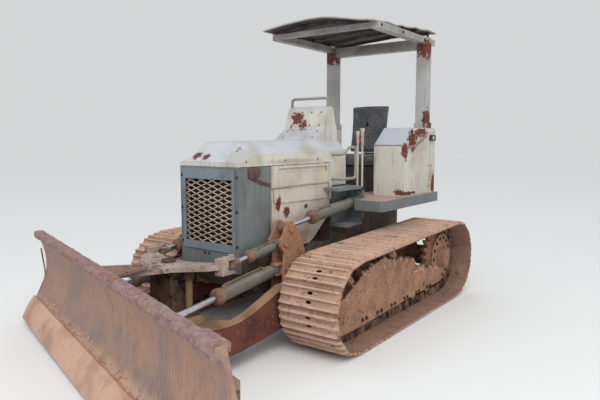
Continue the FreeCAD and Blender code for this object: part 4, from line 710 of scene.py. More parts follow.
def dress(item, finish):
    """One finish in place of every material slot."""
    item.data.materials.clear()
    item.data.materials.append(finish)


for finish, names in DRESS.items():
    for name in names:
        dress(cad[name], finish)
undressed = [name for name in cad if not any(name in names for names in DRESS.values())]
print("dressed:", sum(len(names) for names in DRESS.values()), "left bare:", undressed)

# %% [markdown]
# ## A kit for repeated pieces
# Shoes, links, bolts and strands repeat by the dozen. Each could be copied in a Python loop,
# but a Geometry Nodes tree says the rule once and keeps its sizes as named inputs. The tree
# ends in Realize Instances and Set Material, and the result is then kept as a plain mesh,
# because an exported file holds no instances.

# %% Mesh and Geometry Nodes kit
def mesh_of(name, vertices, faces):
    mesh = bpy.data.meshes.new(name)
    mesh.from_pydata([tuple(vertex) for vertex in vertices], [], faces)
    mesh.validate()
    return mesh


def mesh_from(shape, name):
    """A bmesh that is done, kept as a mesh."""
    mesh = bpy.data.meshes.new(name)
    shape.to_mesh(mesh)
    shape.free()
    return mesh


def outward(shape):
    bmesh.ops.recalc_face_normals(shape, faces=shape.faces)
    return shape


def bridge(shape, low, high):
    """The faces between two rings of as many corners."""
    for number in range(len(low)):
        following = (number + 1) % len(low)
        shape.faces.new((low[number], low[following], high[following], high[number]))


def piece_of(name, mesh, finish, body, replaces=()):
    """A finished piece: its object at the origin, one finish, riding on a CAD body."""
    item = added(name, mesh)
    dress(item, finish)
    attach(item, body)
    for node in replaces:
        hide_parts(node)
    return item


def settled(item):
    """The mesh that an object's modifiers or curve make, as plain mesh."""
    bpy.context.view_layer.update()
    graph = bpy.context.evaluated_depsgraph_get()
    mesh = bpy.data.meshes.new_from_object(item.evaluated_get(graph))
    bpy.data.objects.remove(item)
    return mesh


class Tree:
    """A Geometry Nodes tree, put together line by line."""

    def __init__(self, name, **sizes):
        self.tree = bpy.data.node_groups.new(name, "GeometryNodeTree")
        face = self.tree.interface
        face.new_socket("Geometry", in_out="INPUT", socket_type="NodeSocketGeometry")
        face.new_socket("Geometry", in_out="OUTPUT", socket_type="NodeSocketGeometry")
        for label, kind in sizes.items():
            face.new_socket(label, in_out="INPUT", socket_type=f"NodeSocket{kind}")
        self.entry = self.tree.nodes.new("NodeGroupInput")
        self.exit = self.tree.nodes.new("NodeGroupOutput")

    def node(self, kind, feeds, **settings):
        made = self.tree.nodes.new(kind)
        for label, value in settings.items():
            setattr(made, label, value)
        for key, value in feeds.items():
            socket = made.inputs[key]
            if isinstance(value, bpy.types.NodeSocket):
                self.tree.links.new(value, socket)
            else:
                socket.default_value = value
        return made

    def given(self, label):
        return self.entry.outputs[label]

    def attribute(self, name, kind):
        node = self.node("GeometryNodeInputNamedAttribute", {"Name": name}, data_type=kind)
        return node.outputs["Attribute"]

    def close(self, geometry):
        real = self.node("GeometryNodeRealizeInstances", {0: geometry})
        painted = self.node("GeometryNodeSetMaterial",
                            {"Geometry": real.outputs[0], "Material": self.given("Finish")})
        self.tree.links.new(painted.outputs[0], self.exit.inputs[0])


def run_tree(tree, mesh, values):
    """Run a tree on a mesh: inputs are set by identifier before the first evaluation."""
    item = added("work", mesh)
    modifier = item.modifiers.new("nodes", "NODES")
    modifier.node_group = tree.tree
    for socket in tree.tree.interface.items_tree:
        if socket.in_out == "INPUT" and socket.name in values:
            modifier[socket.identifier] = values[socket.name]
    return settled(item)


def points_mesh(spots):
    """A mesh of loose points, each (place, turn, size), for a tree to set pieces on."""
    mesh = bpy.data.meshes.new("points")
    mesh.from_pydata([tuple(place) for place, turn, size in spots], [], [])
    mesh.attributes.new("turn", "FLOAT_VECTOR", "POINT")
    mesh.attributes.new("size", "FLOAT", "POINT")
    for index, (place, turn, size) in enumerate(spots):
        mesh.attributes["turn"].data[index].vector = turn
        mesh.attributes["size"].data[index].value = size
    return mesh


def placing_tree():
    """Sets one template piece on every point, turned and sized as the point says."""
    tree = Tree("set_on_points", Piece="Object", Finish="Material")
    shape = tree.node("GeometryNodeObjectInfo", {"Object": tree.given("Piece")})
    turn = tree.node("FunctionNodeEulerToRotation",
                     {0: tree.attribute("turn", "FLOAT_VECTOR")})
    put = tree.node("GeometryNodeInstanceOnPoints",
                    {"Points": tree.given("Geometry"), "Instance": shape.outputs["Geometry"],
                     "Rotation": turn.outputs[0], "Scale": tree.attribute("size", "FLOAT")})
    tree.close(put.outputs[0])
    return tree


PLACING = placing_tree()


def repeat(name, template, spots, finish, body, replaces=()):
    """One plain mesh of a template set at every spot."""
    stamp = added("template", template)
    mesh = run_tree(PLACING, points_mesh(spots), {"Piece": stamp, "Finish": finish})
    bpy.data.objects.remove(stamp)
    return piece_of(name, mesh, finish, body, replaces)


print("kit ready:", PLACING.tree.name, "inputs:",
      [socket.name for socket in PLACING.tree.interface.items_tree])

# %% [markdown]
# ## Crawler shoes
# A shoe is a rolled steel plate with three low ribs, worn round at its ends, with two
# cleaning holes that let mud out over the chain. The CAD track has its shoes in one closed
# outline. Here one shoe is modelled with care and a tree sets it on every link of the same
# loop, so the holes and worn ends are real and cost little.

# %% The loop of the track
SHOE_COUNT = 37
TRACK_X = 0.8175
SHOE_WIDTH = 0.485
IDLER = Vector((0.0, -0.925, 0.345))
SPROCKET = Vector((0.0, 0.925, 0.370))
PIN_DEPTH = 0.071


def loop_rule():
    """The pins' loop as a function of the distance along it, and its length."""
    front, rear = IDLER.z - PIN_DEPTH, SPROCKET.z - PIN_DEPTH
    span = (SPROCKET - IDLER).length
    lean = math.asin((rear - front) / span)
    level = span * math.cos(lean)
    half_turn = math.pi + 2 * lean
    rear_arc = rear * half_turn
    length = 2 * level + rear_arc + front * (2 * math.pi - half_turn)

    def circle(centre, radius, turn):
        return centre + Vector((0, math.sin(turn), -math.cos(turn))) * radius

    def place(distance):
        distance %= length
        if distance < level:
            return circle(IDLER, front, 0) + Vector((0, distance, 0))
        if distance < level + rear_arc:
            return circle(SPROCKET, rear, (distance - level) / rear)
        distance -= level + rear_arc
        if distance < level:
            run = Vector((0, math.cos(half_turn), math.sin(half_turn))) * distance
            return circle(SPROCKET, rear, half_turn) + run
        return circle(IDLER, front, half_turn + (distance - level) / front)

    return place, length


def link_spots():
    """The middle and the turn of every link, with the pitch between pins."""
    place, length = loop_rule()
    pins = [place(length * number / SHOE_COUNT) for number in range(SHOE_COUNT)]
    spots = []
    for pin, following in zip(pins, pins[1:] + pins[:1]):
        along = following - pin
        spots.append(((pin + following) / 2, math.atan2(-along.z, -along.y)))
    return spots, (pins[1] - pins[0]).length


LINKS, PITCH = link_spots()
print("links:", len(LINKS), "pitch:", round(PITCH, 4), "m")

# %% One shoe
# Each row: share of the pitch, height over the pin line, height at the worn ends. The lip
# behind -0.50 runs under the next shoe, so no gap shows between two.
SHOE_PROFILE = [
    (-0.66, 0.043, 0.041), (-0.50, 0.043, 0.041), (-0.49, 0.049, 0.046), (-0.465, 0.069, 0.058),
    (-0.44, 0.071, 0.060), (-0.39, 0.070, 0.059), (-0.33, 0.052, 0.050), (-0.29, 0.049, 0.048),
    (-0.13, 0.049, 0.048), (-0.085, 0.053, 0.050), (-0.045, 0.070, 0.060), (0.045, 0.070, 0.060),
    (0.085, 0.053, 0.050), (0.13, 0.049, 0.048), (0.29, 0.049, 0.048), (0.33, 0.052, 0.050),
    (0.39, 0.070, 0.059), (0.44, 0.071, 0.060), (0.465, 0.069, 0.058), (0.49, 0.049, 0.046)]
SHOE_UNDER = 0.039
HOLE_HALF = 0.027
HOLE_ROWS = {0.13, 0.29}
RIB_HEIGHT = 0.030


def ringed_hole(shape, corners, z):
    """A flat rectangle with an eight-sided hole in it; returns the hole's ring."""
    low_x, high_x, low_y, high_y = corners
    middle_y = (low_y + high_y) / 2
    half_y = (high_y - low_y) * 0.44
    half_x = (high_x - low_x) * 0.40
    cut = 0.45
    outline = [(-1, -1 + cut), (-1, 1 - cut), (-1 + cut, 1), (1 - cut, 1), (1, 1 - cut),
               (1, -1 + cut), (1 - cut, -1), (-1 + cut, -1)]
    ring = [shape.verts.new(((low_x + high_x) / 2 + x * half_x, middle_y + y * half_y, z))
            for x, y in outline]
    box = [shape.verts.new((x, y, z)) for x, y in
           ((low_x, low_y), (low_x, high_y), (high_x, high_y), (high_x, low_y))]
    for first, corner in ((1, 1), (3, 2), (5, 3), (7, 0)):
        shape.faces.new((ring[first], ring[(first + 1) % 8], box[corner]))
    for first, start, end in ((0, 0, 1), (2, 1, 2), (4, 2, 3), (6, 3, 0)):
        shape.faces.new((ring[first], ring[first + 1], box[end], box[start]))
    return ring


def shoe_template():
    shape = bmesh.new()
    half = SHOE_WIDTH / 2
    stations = [(-half, 2), (-half + 0.03, 1), (-HOLE_HALF, 1), (HOLE_HALF, 1),
                (half - 0.03, 1), (half, 2)]
    tops, unders = [], []
    for x, column in stations:
        tops.append([shape.verts.new((x, row[0] * PITCH, row[column])) for row in SHOE_PROFILE])
        unders.append([shape.verts.new((x, row[0] * PITCH, min(SHOE_UNDER, row[2] - 0.006)))
                       for row in SHOE_PROFILE])
    for strip in range(len(SHOE_PROFILE) - 1):
        here, there = SHOE_PROFILE[strip][0], SHOE_PROFILE[strip + 1][0]
        for index in range(len(stations) - 1):
            if index == 2 and {abs(here), abs(there)} == HOLE_ROWS:
                corners = (-HOLE_HALF, HOLE_HALF, here * PITCH, there * PITCH)
                bridge(shape, ringed_hole(shape, corners, SHOE_PROFILE[strip][1]),
                       ringed_hole(shape, corners, SHOE_UNDER))
                continue
            for rows in (tops, unders):
                shape.faces.new((rows[index][strip], rows[index + 1][strip],
                                 rows[index + 1][strip + 1], rows[index][strip + 1]))
    for index in range(len(stations) - 1):
        for end in (0, -1):
            shape.faces.new((tops[index][end], tops[index + 1][end], unders[index + 1][end],
                             unders[index][end]))
    for end in (0, -1):
        for strip in range(len(SHOE_PROFILE) - 1):
            shape.faces.new((tops[end][strip], tops[end][strip + 1], unders[end][strip + 1],
                             unders[end][strip]))
    for x in (-0.050, 0.050):
        for y in (-0.21, 0.21):
            add_prism(shape, (x, y * PITCH, 0.0485), 0.012, 0.009, 6)
    bmesh.ops.remove_doubles(shape, verts=shape.verts, dist=1e-5)
    mesh = mesh_from(outward(shape), "shoe")
    # The rib height feeds the track coat's painted shade in the valleys and painted highlight on
    # the crests.
    mesh.attributes.new("rib", "FLOAT", "POINT")
    for vertex in mesh.vertices:
        height = (vertex.co.z - SHOE_UNDER) / RIB_HEIGHT
        mesh.attributes["rib"].data[vertex.index].value = min(1.0, max(0.0, height))
    return mesh


def add_prism(shape, base, radius, height, sides):
    """An upright prism in a bmesh, slightly narrower on top, as a bolt head is."""
    rings = []
    for level, share in ((0.0, 1.0), (0.75, 1.0), (1.0, 0.828)):
        rings.append([shape.verts.new((base[0] + math.cos(turn) * radius * share,
                                       base[1] + math.sin(turn) * radius * share,
                                       base[2] + height * level))
                      for turn in [2 * math.pi * number / sides for number in range(sides)]])
    for low, high in zip(rings, rings[1:]):
        bridge(shape, low, high)
    shape.faces.new(rings[-1])


SHOE = shoe_template()
print("faces in one shoe:", len(SHOE.polygons))

# %% One chain link
LINK_OUTLINE_STEPS = 7


def link_template(sign):
    """One rail link: round ends on the pins, stepped sideways so that neighbours overlap."""
    shape = bmesh.new()
    outline = []
    for number in range(LINK_OUTLINE_STEPS):
        turn = math.pi * (number / (LINK_OUTLINE_STEPS - 1) - 0.5)
        outline.append((PITCH * 0.47 + math.cos(turn) * 0.022, math.sin(turn) * 0.030))
    outline += [(PITCH * 0.36, 0.038), (-PITCH * 0.36, 0.038)]
    for number in range(LINK_OUTLINE_STEPS):
        turn = math.pi * (number / (LINK_OUTLINE_STEPS - 1) + 0.5)
        outline.append((-PITCH * 0.47 + math.cos(turn) * 0.022, math.sin(turn) * 0.030))
    outline += [(-PITCH * 0.30, -0.038), (PITCH * 0.30, -0.038)]
    layers = []
    for depth in (0.036, 0.057):
        layer = []
        for y, z in outline:
            step = 0.007 * min(1.0, max(0.0, y / (PITCH * 0.2) * 0.5 + 0.5))
            layer.append(shape.verts.new((sign * (depth + step), y, z)))
        layers.append(layer)
    bridge(shape, *layers)
    shape.faces.new(layers[0])
    shape.faces.new(layers[1])
    ring = [[shape.verts.new((sign * x, PITCH * 0.5 + math.cos(turn) * 0.017,
                              math.sin(turn) * 0.017))
             for turn in [math.pi * number / 4 for number in range(8)]] for x in (0.03, 0.070)]
    bridge(shape, *ring)
    shape.faces.new(ring[1])
    return mesh_from(outward(shape), "link")


def track_spots(side):
    """Every link's place and turn on one side's track."""
    middle = TRACK_X if side == "left" else -TRACK_X
    return [(place + Vector((middle, 0, 0)), (turn, 0, 0), 1.0) for place, turn in LINKS]


for side in SIDES:
    spots = track_spots(side)
    repeat(f"shoes_{side}", SHOE, spots, TRACK_CLAY, "chassis",
           replaces=(f"track_{side}",))
    for sign, which in ((1, "outer"), (-1, "inner")):
        repeat(f"chain_{which}_{side}", link_template(sign), spots, CHAIN_CLAY, "chassis")
print("shoe triangles:", sum(len(p.vertices) - 2 for p in SHOE.polygons) * SHOE_COUNT)

# %% [markdown]
# ## Expanded metal in the grille
# The grille is one sheet, slit and pulled open into long diamonds. Every crossing is a flat
# bond from which four twisted half strands leave. That one crossing is the template, and
# the tree sets it on a staggered grid behind the frame's opening.

# %% Grille
DIAMOND_WIDTH = 0.111
DIAMOND_HEIGHT = 0.041
GRILLE_PLANE = -1.3225
GRILLE_HALF = 0.250
GRILLE_LOW, GRILLE_HIGH = 0.735, 1.240


def crossing_template():
    """A bond and four half strands, in the upright plane, 8.5 mm wide and 3 mm thick."""
    shape = bmesh.new()

    def bar(start, end, width, depth, twist):
        start, end = Vector(start), Vector(end)
        along = (end - start).normalized()
        side = Vector((along.z, 0, -along.x))
        out = Vector((0, 1, 0))
        wide = side * math.cos(twist) + out * math.sin(twist)
        thin = out * math.cos(twist) - side * math.sin(twist)
        rings = []
        for place in (start, end):
            rings.append([shape.verts.new(place + wide * a * width / 2 + thin * b * depth / 2)
                          for a, b in ((-1, -1), (1, -1), (1, 1), (-1, 1))])
        bridge(shape, *rings)
        shape.faces.new(rings[0])
        shape.faces.new(rings[1])

    reach_x, reach_z = DIAMOND_WIDTH / 4, DIAMOND_HEIGHT / 4
    for x, z, twist in ((1, -1, 0.35), (-1, 1, 0.35), (1, 1, -0.5), (-1, -1, -0.5)):
        lift = -0.0015 if x * z < 0 else 0.0015
        bar((x * reach_x * 0.12, lift, z * reach_z * 0.12),
            (x * reach_x * 1.03, lift, z * reach_z * 1.03), 0.0085, 0.003, twist)
    bar((-0.011, 0, 0), (0.011, 0, 0), 0.0075, 0.005, 0.0)
    return mesh_from(outward(shape), "crossing")


def grille_spots():
    """A staggered grid of crossings over the frame's opening."""
    spots = []
    columns = int(GRILLE_HALF * 2 / (DIAMOND_WIDTH / 2))
    rows = int((GRILLE_HIGH - GRILLE_LOW) / (DIAMOND_HEIGHT / 2))
    for column in range(columns + 1):
        for row in range(rows + 1):
            if (column + row) % 2:
                continue
            x = -GRILLE_HALF + column * DIAMOND_WIDTH / 2
            z = GRILLE_LOW + row * DIAMOND_HEIGHT / 2
            spots.append(((x, GRILLE_PLANE, z), (0, 0, 0), 1.0))
    return spots


MESH_STEEL = clay_covered("mesh_steel", pale=shade(206, 190, 172), dark=shade(150, 128, 112),
                          under=shade(120, 92, 76), cover=0.62, depth=0.001)
repeat("grille_strands", crossing_template(), grille_spots(), MESH_STEEL, "chassis",
       replaces=("grille_mesh",))
print("crossings:", len(grille_spots()))

# %% [markdown]
# ## A kit for tubes, bolts and cut plates
# Rails and pipes are bent from straight tube, so their corners are arcs of one radius. A
# curve with a round bevel makes them cleanly. Plates are drawn as flat curves with their
# holes, which Blender fills and extrudes. Bolts are one template, set by the placing tree.

# %% Tubes, plates and bolts
BEND_STEPS = 5
PLATE_BEVEL = 0.001


def rounded_path(points, bend):
    """A path with its corners replaced by arcs that start a bend's length before them."""
    points = [Vector(point) for point in points]
    path = [points[0]]
    for before, corner, after in zip(points, points[1:], points[2:]):
        reach = min(bend, (before - corner).length * 0.49, (after - corner).length * 0.49)
        start = corner + (before - corner).normalized() * reach
        end = corner + (after - corner).normalized() * reach
        for step in range(BEND_STEPS + 1):
            share = step / BEND_STEPS
            path.append(start.lerp(corner, share).lerp(corner.lerp(end, share), share))
    return path + [points[-1]]


def curve_mesh(paths, closed, **settings):
    """The mesh of one curve object with straight splines through the paths."""
    curve = bpy.data.curves.new("work", "CURVE")
    for label, value in settings.items():
        setattr(curve, label, value)
    for path in paths:
        spline = curve.splines.new("POLY")
        spline.points.add(len(path) - 1)
        for point, place in zip(spline.points, path):
            point.co = (*place, 1.0)
        spline.use_cyclic_u = closed
    return settled(added("work", curve))


def tubes(name, paths, radius, finish, body, replaces=(), closed=False):
    """Round tubes along several paths, in one piece."""
    mesh = curve_mesh(paths, closed, dimensions="3D", bevel_depth=radius, bevel_resolution=3,
                      use_fill_caps=True)
    mesh.shade_smooth()
    return piece_of(name, mesh, finish, body, replaces)


def flat_plate(outlines, thickness, place):
    """A plate drawn flat, its first outline the edge and the rest holes, then set in place."""
    flat = [[(x, y, 0.0) for x, y in outline] for outline in outlines]
    mesh = curve_mesh(flat, True, dimensions="2D", fill_mode="BOTH",
                      extrude=thickness / 2 - PLATE_BEVEL, bevel_depth=PLATE_BEVEL,
                      bevel_resolution=1)
    mesh.transform(place)
    return cleaned(mesh)


def cleaned(mesh):
    """Doubles merged and faces turned outwards."""
    shape = bmesh.new()
    shape.from_mesh(mesh)
    bmesh.ops.remove_doubles(shape, verts=shape.verts, dist=1e-5)
    outward(shape).to_mesh(mesh)
    shape.free()
    return mesh


def gathered(name, meshes):
    """Several meshes in one."""
    shape = bmesh.new()
    for mesh in meshes:
        shape.from_mesh(mesh)
    return mesh_from(shape, name)


def facing_place(origin, right, up):
    """A matrix that lays a flat drawing's x along right and its y along up."""
    right, up = Vector(right).normalized(), Vector(up).normalized()
    out = right.cross(up)
    turn = Matrix((right, up, out)).transposed().to_4x4()
    return Matrix.Translation(Vector(origin)) @ turn


def rectangle(left, low, right, high, corner):
    """A rectangle with round corners, each in three steps."""
    outline = []
    for x, y, start in ((right - corner, low + corner, -90), (right - corner, high - corner, 0),
                        (left + corner, high - corner, 90), (left + corner, low + corner, 180)):
        for step in range(4):
            turn = math.radians(start + 30 * step)
            outline.append((x + math.cos(turn) * corner, y + math.sin(turn) * corner))
    return outline


def bolt_template(radius, height):
    """A hexagon head on a round washer."""
    shape = bmesh.new()
    add_prism(shape, (0, 0, 0), radius * 1.35, height * 0.22, 14)
    add_prism(shape, (0, 0, height * 0.2), radius, height * 0.8, 6)
    return mesh_from(outward(shape), "bolt")


def turned_to(direction, spin):
    """The turn that points a template's +Z along a direction."""
    quaternion = Vector(direction).to_track_quat("Z", "Y")
    return (quaternion @ Matrix.Rotation(spin, 3, "Z").to_quaternion()).to_euler()


print("rounded corner points:", len(rounded_path([(0, 0, 0), (1, 0, 0), (1, 1, 0)], 0.1)))

# %% [markdown]
# ## Hand rails and grab handles
# The rails are bent from one thin tube, its ends flanged onto the sheet metal. Drawing the
# tube's middle line and giving the curve a round bevel keeps every bend even.

# %% Rails
RAIL_RADIUS = 0.013


def mirrored(path):
    """The same path on the machine's other side."""
    return [(-x, y, z) for x, y, z in path]


OVER_COWL = [(0.195, -0.05, 1.800), (0.195, -0.05, 1.870), (-0.195, -0.05, 1.870),
             (-0.195, -0.05, 1.800)]
SIDE_LOOP = [(0.3003, -0.135, 1.377), (0.410, -0.135, 1.377), (0.410, -0.045, 1.437),
             (0.410, 0.070, 1.437), (0.410, 0.070, 1.166), (0.410, -0.135, 1.166),
             (0.3003, -0.135, 1.166)]
TANK_GRAB = [(0.7053, 0.485, 1.440), (0.780, 0.485, 1.440), (0.780, 0.755, 1.545),
             (0.7053, 0.755, 1.545)]
# The rail's first colour is a sky-lit top and its second a shaded wall: painted light.
RAIL_PAINT = weathered("rail_paint", shade(176, 172, 168), shade(150, 142, 132),
                       shade(110, 96, 84), chips=0.6, streaks=0.3, rust=shade(112, 66, 48))
tubes("cowl_rail", [rounded_path(OVER_COWL, 0.045)], RAIL_RADIUS, RAIL_PAINT, "chassis",
      replaces=("handrails",))
tubes("step_rails", [rounded_path(path, 0.034) for path in (SIDE_LOOP, mirrored(SIDE_LOOP))],
      RAIL_RADIUS, RAIL_PAINT, "chassis", replaces=("handrails",))
GRAB_RUST = clay_covered("grab_rust", pale=shade(158, 140, 130), dark=shade(112, 84, 72),
                         under=shade(180, 168, 156), cover=0.56, depth=0.002)
tubes("tank_grabs", [rounded_path(path, 0.045) for path in (TANK_GRAB, mirrored(TANK_GRAB))],
      RAIL_RADIUS, GRAB_RUST, "chassis", replaces=("handrails",))
print("rails:", [item.name for item in bpy.data.objects if "rail" in item.name])

# %% [markdown]
# ## The canopy's sheet
# The roof is one thin steel sheet that years of use have dented: its front left corner
# droops, its rear left edge has sprung up. A grid whose height follows a few written rules
# keeps such a sheet one continuous surface, and Solidify gives it its thickness. A rolled
# rim stiffens its edge, and hat-shaped ribs cross below it from beam to beam.

# %% Canopy sheet
ROOF_HALF = 0.565
ROOF_FRONT, ROOF_REAR = -0.020, 1.420
ROOF_SEAT = 2.524


def smooth_share(value, low, high):
    share = min(1.0, max(0.0, (value - low) / (high - low)))
    return share * share * (3 - 2 * share)


def roof_height(x, y):
    """The middle of the dented sheet over a place, in metres."""
    across = x / ROOF_HALF
    height = ROOF_SEAT + 0.012 + 0.038 * (1 - across * across)
    height += 0.050 * smooth_share(y, 0.25, 1.35) * smooth_share(across, -0.6, 1.0)
    height += 0.012 * smooth_share(y, 0.5, 1.4)
    droop = math.exp(-((x - 0.50) / 0.22) ** 2 - ((y + 0.02) / 0.20) ** 2)
    droop_right = math.exp(-((x + 0.57) / 0.20) ** 2 - ((y + 0.02) / 0.25) ** 2)
    height -= 0.044 * droop + 0.010 * droop_right
    height += 0.0045 * math.sin(y * 2 * math.pi / 0.29 + 0.6) * (0.4 + 0.6 * abs(across))
    height += 0.010 * noise.noise(Vector((x * 3.1, y * 2.3, 4.2)))
    return height + 0.004 * noise.noise(Vector((x * 9.0, y * 8.0, 1.7)))


def walled(mesh, thickness):
    """A sheet given its thickness, half to each side."""
    item = added("work", mesh)
    wall = item.modifiers.new("wall", "SOLIDIFY")
    wall.thickness = thickness
    wall.offset = 0.0
    return settled(item)


def roof_sheet():
    columns, rows = 40, 50
    spots = [(ROOF_HALF * (2 * column / columns - 1),
              ROOF_FRONT + (ROOF_REAR - ROOF_FRONT) * row / rows)
             for row in range(rows + 1) for column in range(columns + 1)]
    faces = []
    for row in range(rows):
        for column in range(columns):
            corner = row * (columns + 1) + column
            faces.append((corner, corner + 1, corner + columns + 2, corner + columns + 1))
    mesh = walled(mesh_of("roof_sheet", [(x, y, roof_height(x, y)) for x, y in spots], faces),
                  0.004)
    mesh.shade_smooth()
    return mesh


def roof_rim():
    """The sheet's rolled edge, one loop round it."""
    corner = 0.03
    outline = rectangle(-ROOF_HALF, ROOF_FRONT, ROOF_HALF, ROOF_REAR, corner)
    path = []
    for (x, y), (following_x, following_y) in zip(outline, outline[1:] + outline[:1]):
        pieces = max(1, int(math.hypot(following_x - x, following_y - y) / 0.04))
        for step in range(pieces):
            share = step / pieces
            at_x, at_y = x + (following_x - x) * share, y + (following_y - y) * share
            path.append((at_x, at_y, roof_height(at_x, at_y)))
    return path


# ROOF_TOP's very dark wall colour is painted shade on the sheet's underside; both roof coats
# also take a sky-lit top colour, painted light.
ROOF_TOP = weathered("roof_top", shade(150, 142, 132), shade(56, 52, 52), shade(92, 76, 66),
                     chips=0.6, streaks=0.3, rust=shade(92, 60, 48))
ROOF_RIM = weathered("roof_rim", shade(184, 178, 170), shade(168, 162, 156),
                     shade(120, 100, 88), chips=0.7, streaks=0.2, rust=shade(92, 58, 46))
piece_of("roof_sheet", roof_sheet(), ROOF_TOP, "chassis", ("canopy_roof",))
tubes("roof_rim", [roof_rim()], 0.0075, ROOF_RIM, "chassis",
      replaces=("canopy_roof",), closed=True)
print("roof height at the four corners:",
      [round(roof_height(x, y), 3) for x in (-ROOF_HALF, ROOF_HALF)
       for y in (ROOF_FRONT, ROOF_REAR)])

# %% Canopy ribs
RIB_PLACES = (0.17, 0.46, 0.75, 1.04, 1.33)
BEAM_TOP = 2.516
RIB_PROFILE = [(-0.034, 0.0), (-0.018, 0.0), (-0.014, -0.022), (0.014, -0.022), (0.018, 0.0),
               (0.034, 0.0)]


def roof_ribs():
    """Hat ribs pressed against the sheet's underside, following its camber."""
    vertices, faces = [], []
    steps = 24
    for place in RIB_PLACES:
        first = len(vertices)
        for step in range(steps + 1):
            x = -0.50 + step / steps
            for along, down in RIB_PROFILE:
                y = place + along
                vertices.append((x, y, roof_height(x, y) - 0.0035 + down))
        width = len(RIB_PROFILE)
        for step in range(steps):
            for column in range(width - 1):
                corner = first + step * width + column
                faces.append((corner, corner + width, corner + width + 1, corner + 1))
    return walled(mesh_of("roof_ribs", vertices, faces), 0.002)


# The ribs and clips under the sheet take the dark colour of the shade under the roof: painted
# shade.
ROOF_UNDER_SHADE = plain_dark("roof_under_shade", shade(58, 54, 54), shade(92, 82, 76), 0.8, 0.10)
piece_of("roof_ribs", roof_ribs(), ROOF_UNDER_SHADE, "chassis", ("canopy_roof",))


def roof_clip(side, place):
    """An angle clip from a beam's top up to a rib's end, where the sheet has sprung up."""
    x = side * 0.515
    top = roof_height(x, place) - 0.004
    drawing = [rectangle(place - 0.022, BEAM_TOP, place + 0.022, top, 0.004)]
    return flat_plate(drawing, 0.005, facing_place((x, 0, 0), (0, 1, 0), (0, 0, 1)))


piece_of("roof_clips", gathered("roof_clips", [roof_clip(side, place) for side in (-1, 1)
                                               for place in RIB_PLACES]),
         ROOF_UNDER_SHADE, "chassis", ("canopy_roof",))
print("ribs:", len(RIB_PLACES), "clips:", 2 * len(RIB_PLACES))

# %% [markdown]
# ## The seat's cushions
# The seat is quilted dark cloth over foam. A cushion is a crowned, closed form that pulls in
# between its corners, which is what inflating cloth does by itself. So a plain padded block
# is remeshed evenly and blown up a little by the cloth solver, each point's movement is
# capped, and the quilting lines are pressed in afterwards, because remeshing would lose them.

# %% Cushion kit
CLOTH_FRAMES = 20
CLOTH_PRESSURE = 4.0
CUSHION_CAP = 0.010
CUSHION_WAIST = 0.06
DIAMOND = 0.072
STITCH_DEPTH, STITCH_WIDTH = 0.008, 0.007
CUSHION_VOXEL = 0.006


def padded_block(low, high):
    """A block of rounded rings, its sides pulled in between the corners."""
    shape = bmesh.new()
    bmesh.ops.create_cube(shape, size=2.0)
    bmesh.ops.subdivide_edges(shape, edges=shape.edges, cuts=12, use_grid_fill=True)
    middle = (Vector(low) + Vector(high)) / 2
    half = (Vector(high) - Vector(low)) / 2
    for vertex in shape.verts:
        x, y, z = vertex.co
        round_x = x * math.sqrt(1 - 0.10 * y * y - 0.05 * z * z)
        round_y = y * math.sqrt(1 - 0.20 * x * x - 0.20 * z * z)
        round_z = z * math.sqrt(1 - 0.06 * x * x - 0.22 * y * y)
        waist = 1 - CUSHION_WAIST * (1 - z * z)
        vertex.co = middle + Vector((round_x * half.x * waist, round_y * half.y * waist,
                                     round_z * half.z))
    return mesh_from(shape, "padded_block")


def remeshed(mesh):
    item = added("work", mesh)
    even = item.modifiers.new("even", "REMESH")
    even.mode = "VOXEL"
    even.voxel_size = CUSHION_VOXEL
    return settled(item)


def inflated(mesh):
    """The mesh after the cloth solver has blown it up, each point moved by the cap at most."""
    before = [vertex.co.copy() for vertex in mesh.vertices]
    item = added("work", mesh)
    cloth = item.modifiers.new("cloth", "CLOTH")
    cloth.settings.use_pressure = True
    cloth.settings.uniform_pressure_force = CLOTH_PRESSURE
    cloth.settings.effector_weights.gravity = 0.0
    cloth.settings.quality = 4
    for number in range(1, CLOTH_FRAMES + 1):
        bpy.context.scene.frame_set(number)
    puffed = settled(item)
    bpy.context.scene.frame_set(1)
    for vertex, start in zip(puffed.vertices, before):
        move = vertex.co - start
        if move.length > CUSHION_CAP:
            vertex.co = start + move * (CUSHION_CAP / move.length)
    return puffed


def cushion(name, low, high):
    """A padded form: even mesh, inflated, smoothed once."""
    mesh = remeshed(padded_block(low, high))
    mesh = inflated(mesh)
    item = added("work", mesh)
    finer = item.modifiers.new("finer", "SUBSURF")
    finer.levels = finer.render_levels = 1
    mesh = settled(item)
    mesh.shade_smooth()
    mesh.name = name
    return mesh


def quilt(mesh, up, facing):
    """Presses diamond stitch lines into the faces that look along an axis (1 is y, 2 is z)."""
    normals = [vertex.normal.copy() for vertex in mesh.vertices]
    for vertex, normal in zip(mesh.vertices, normals):
        share = smooth_share(abs(normal[facing]), 0.55, 0.9)
        if share == 0.0:
            continue
        u, v = vertex.co.x, vertex.co[up]
        nearest = 1.0
        for line in ((u + v) / DIAMOND, (u - v) / DIAMOND):
            nearest = min(nearest, abs(line - round(line)) * DIAMOND)
        groove = math.exp(-(nearest / STITCH_WIDTH) ** 2)
        vertex.co -= normal * STITCH_DEPTH * groove * share
    mesh.update()


print("cloth frames:", CLOTH_FRAMES, "quick run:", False)

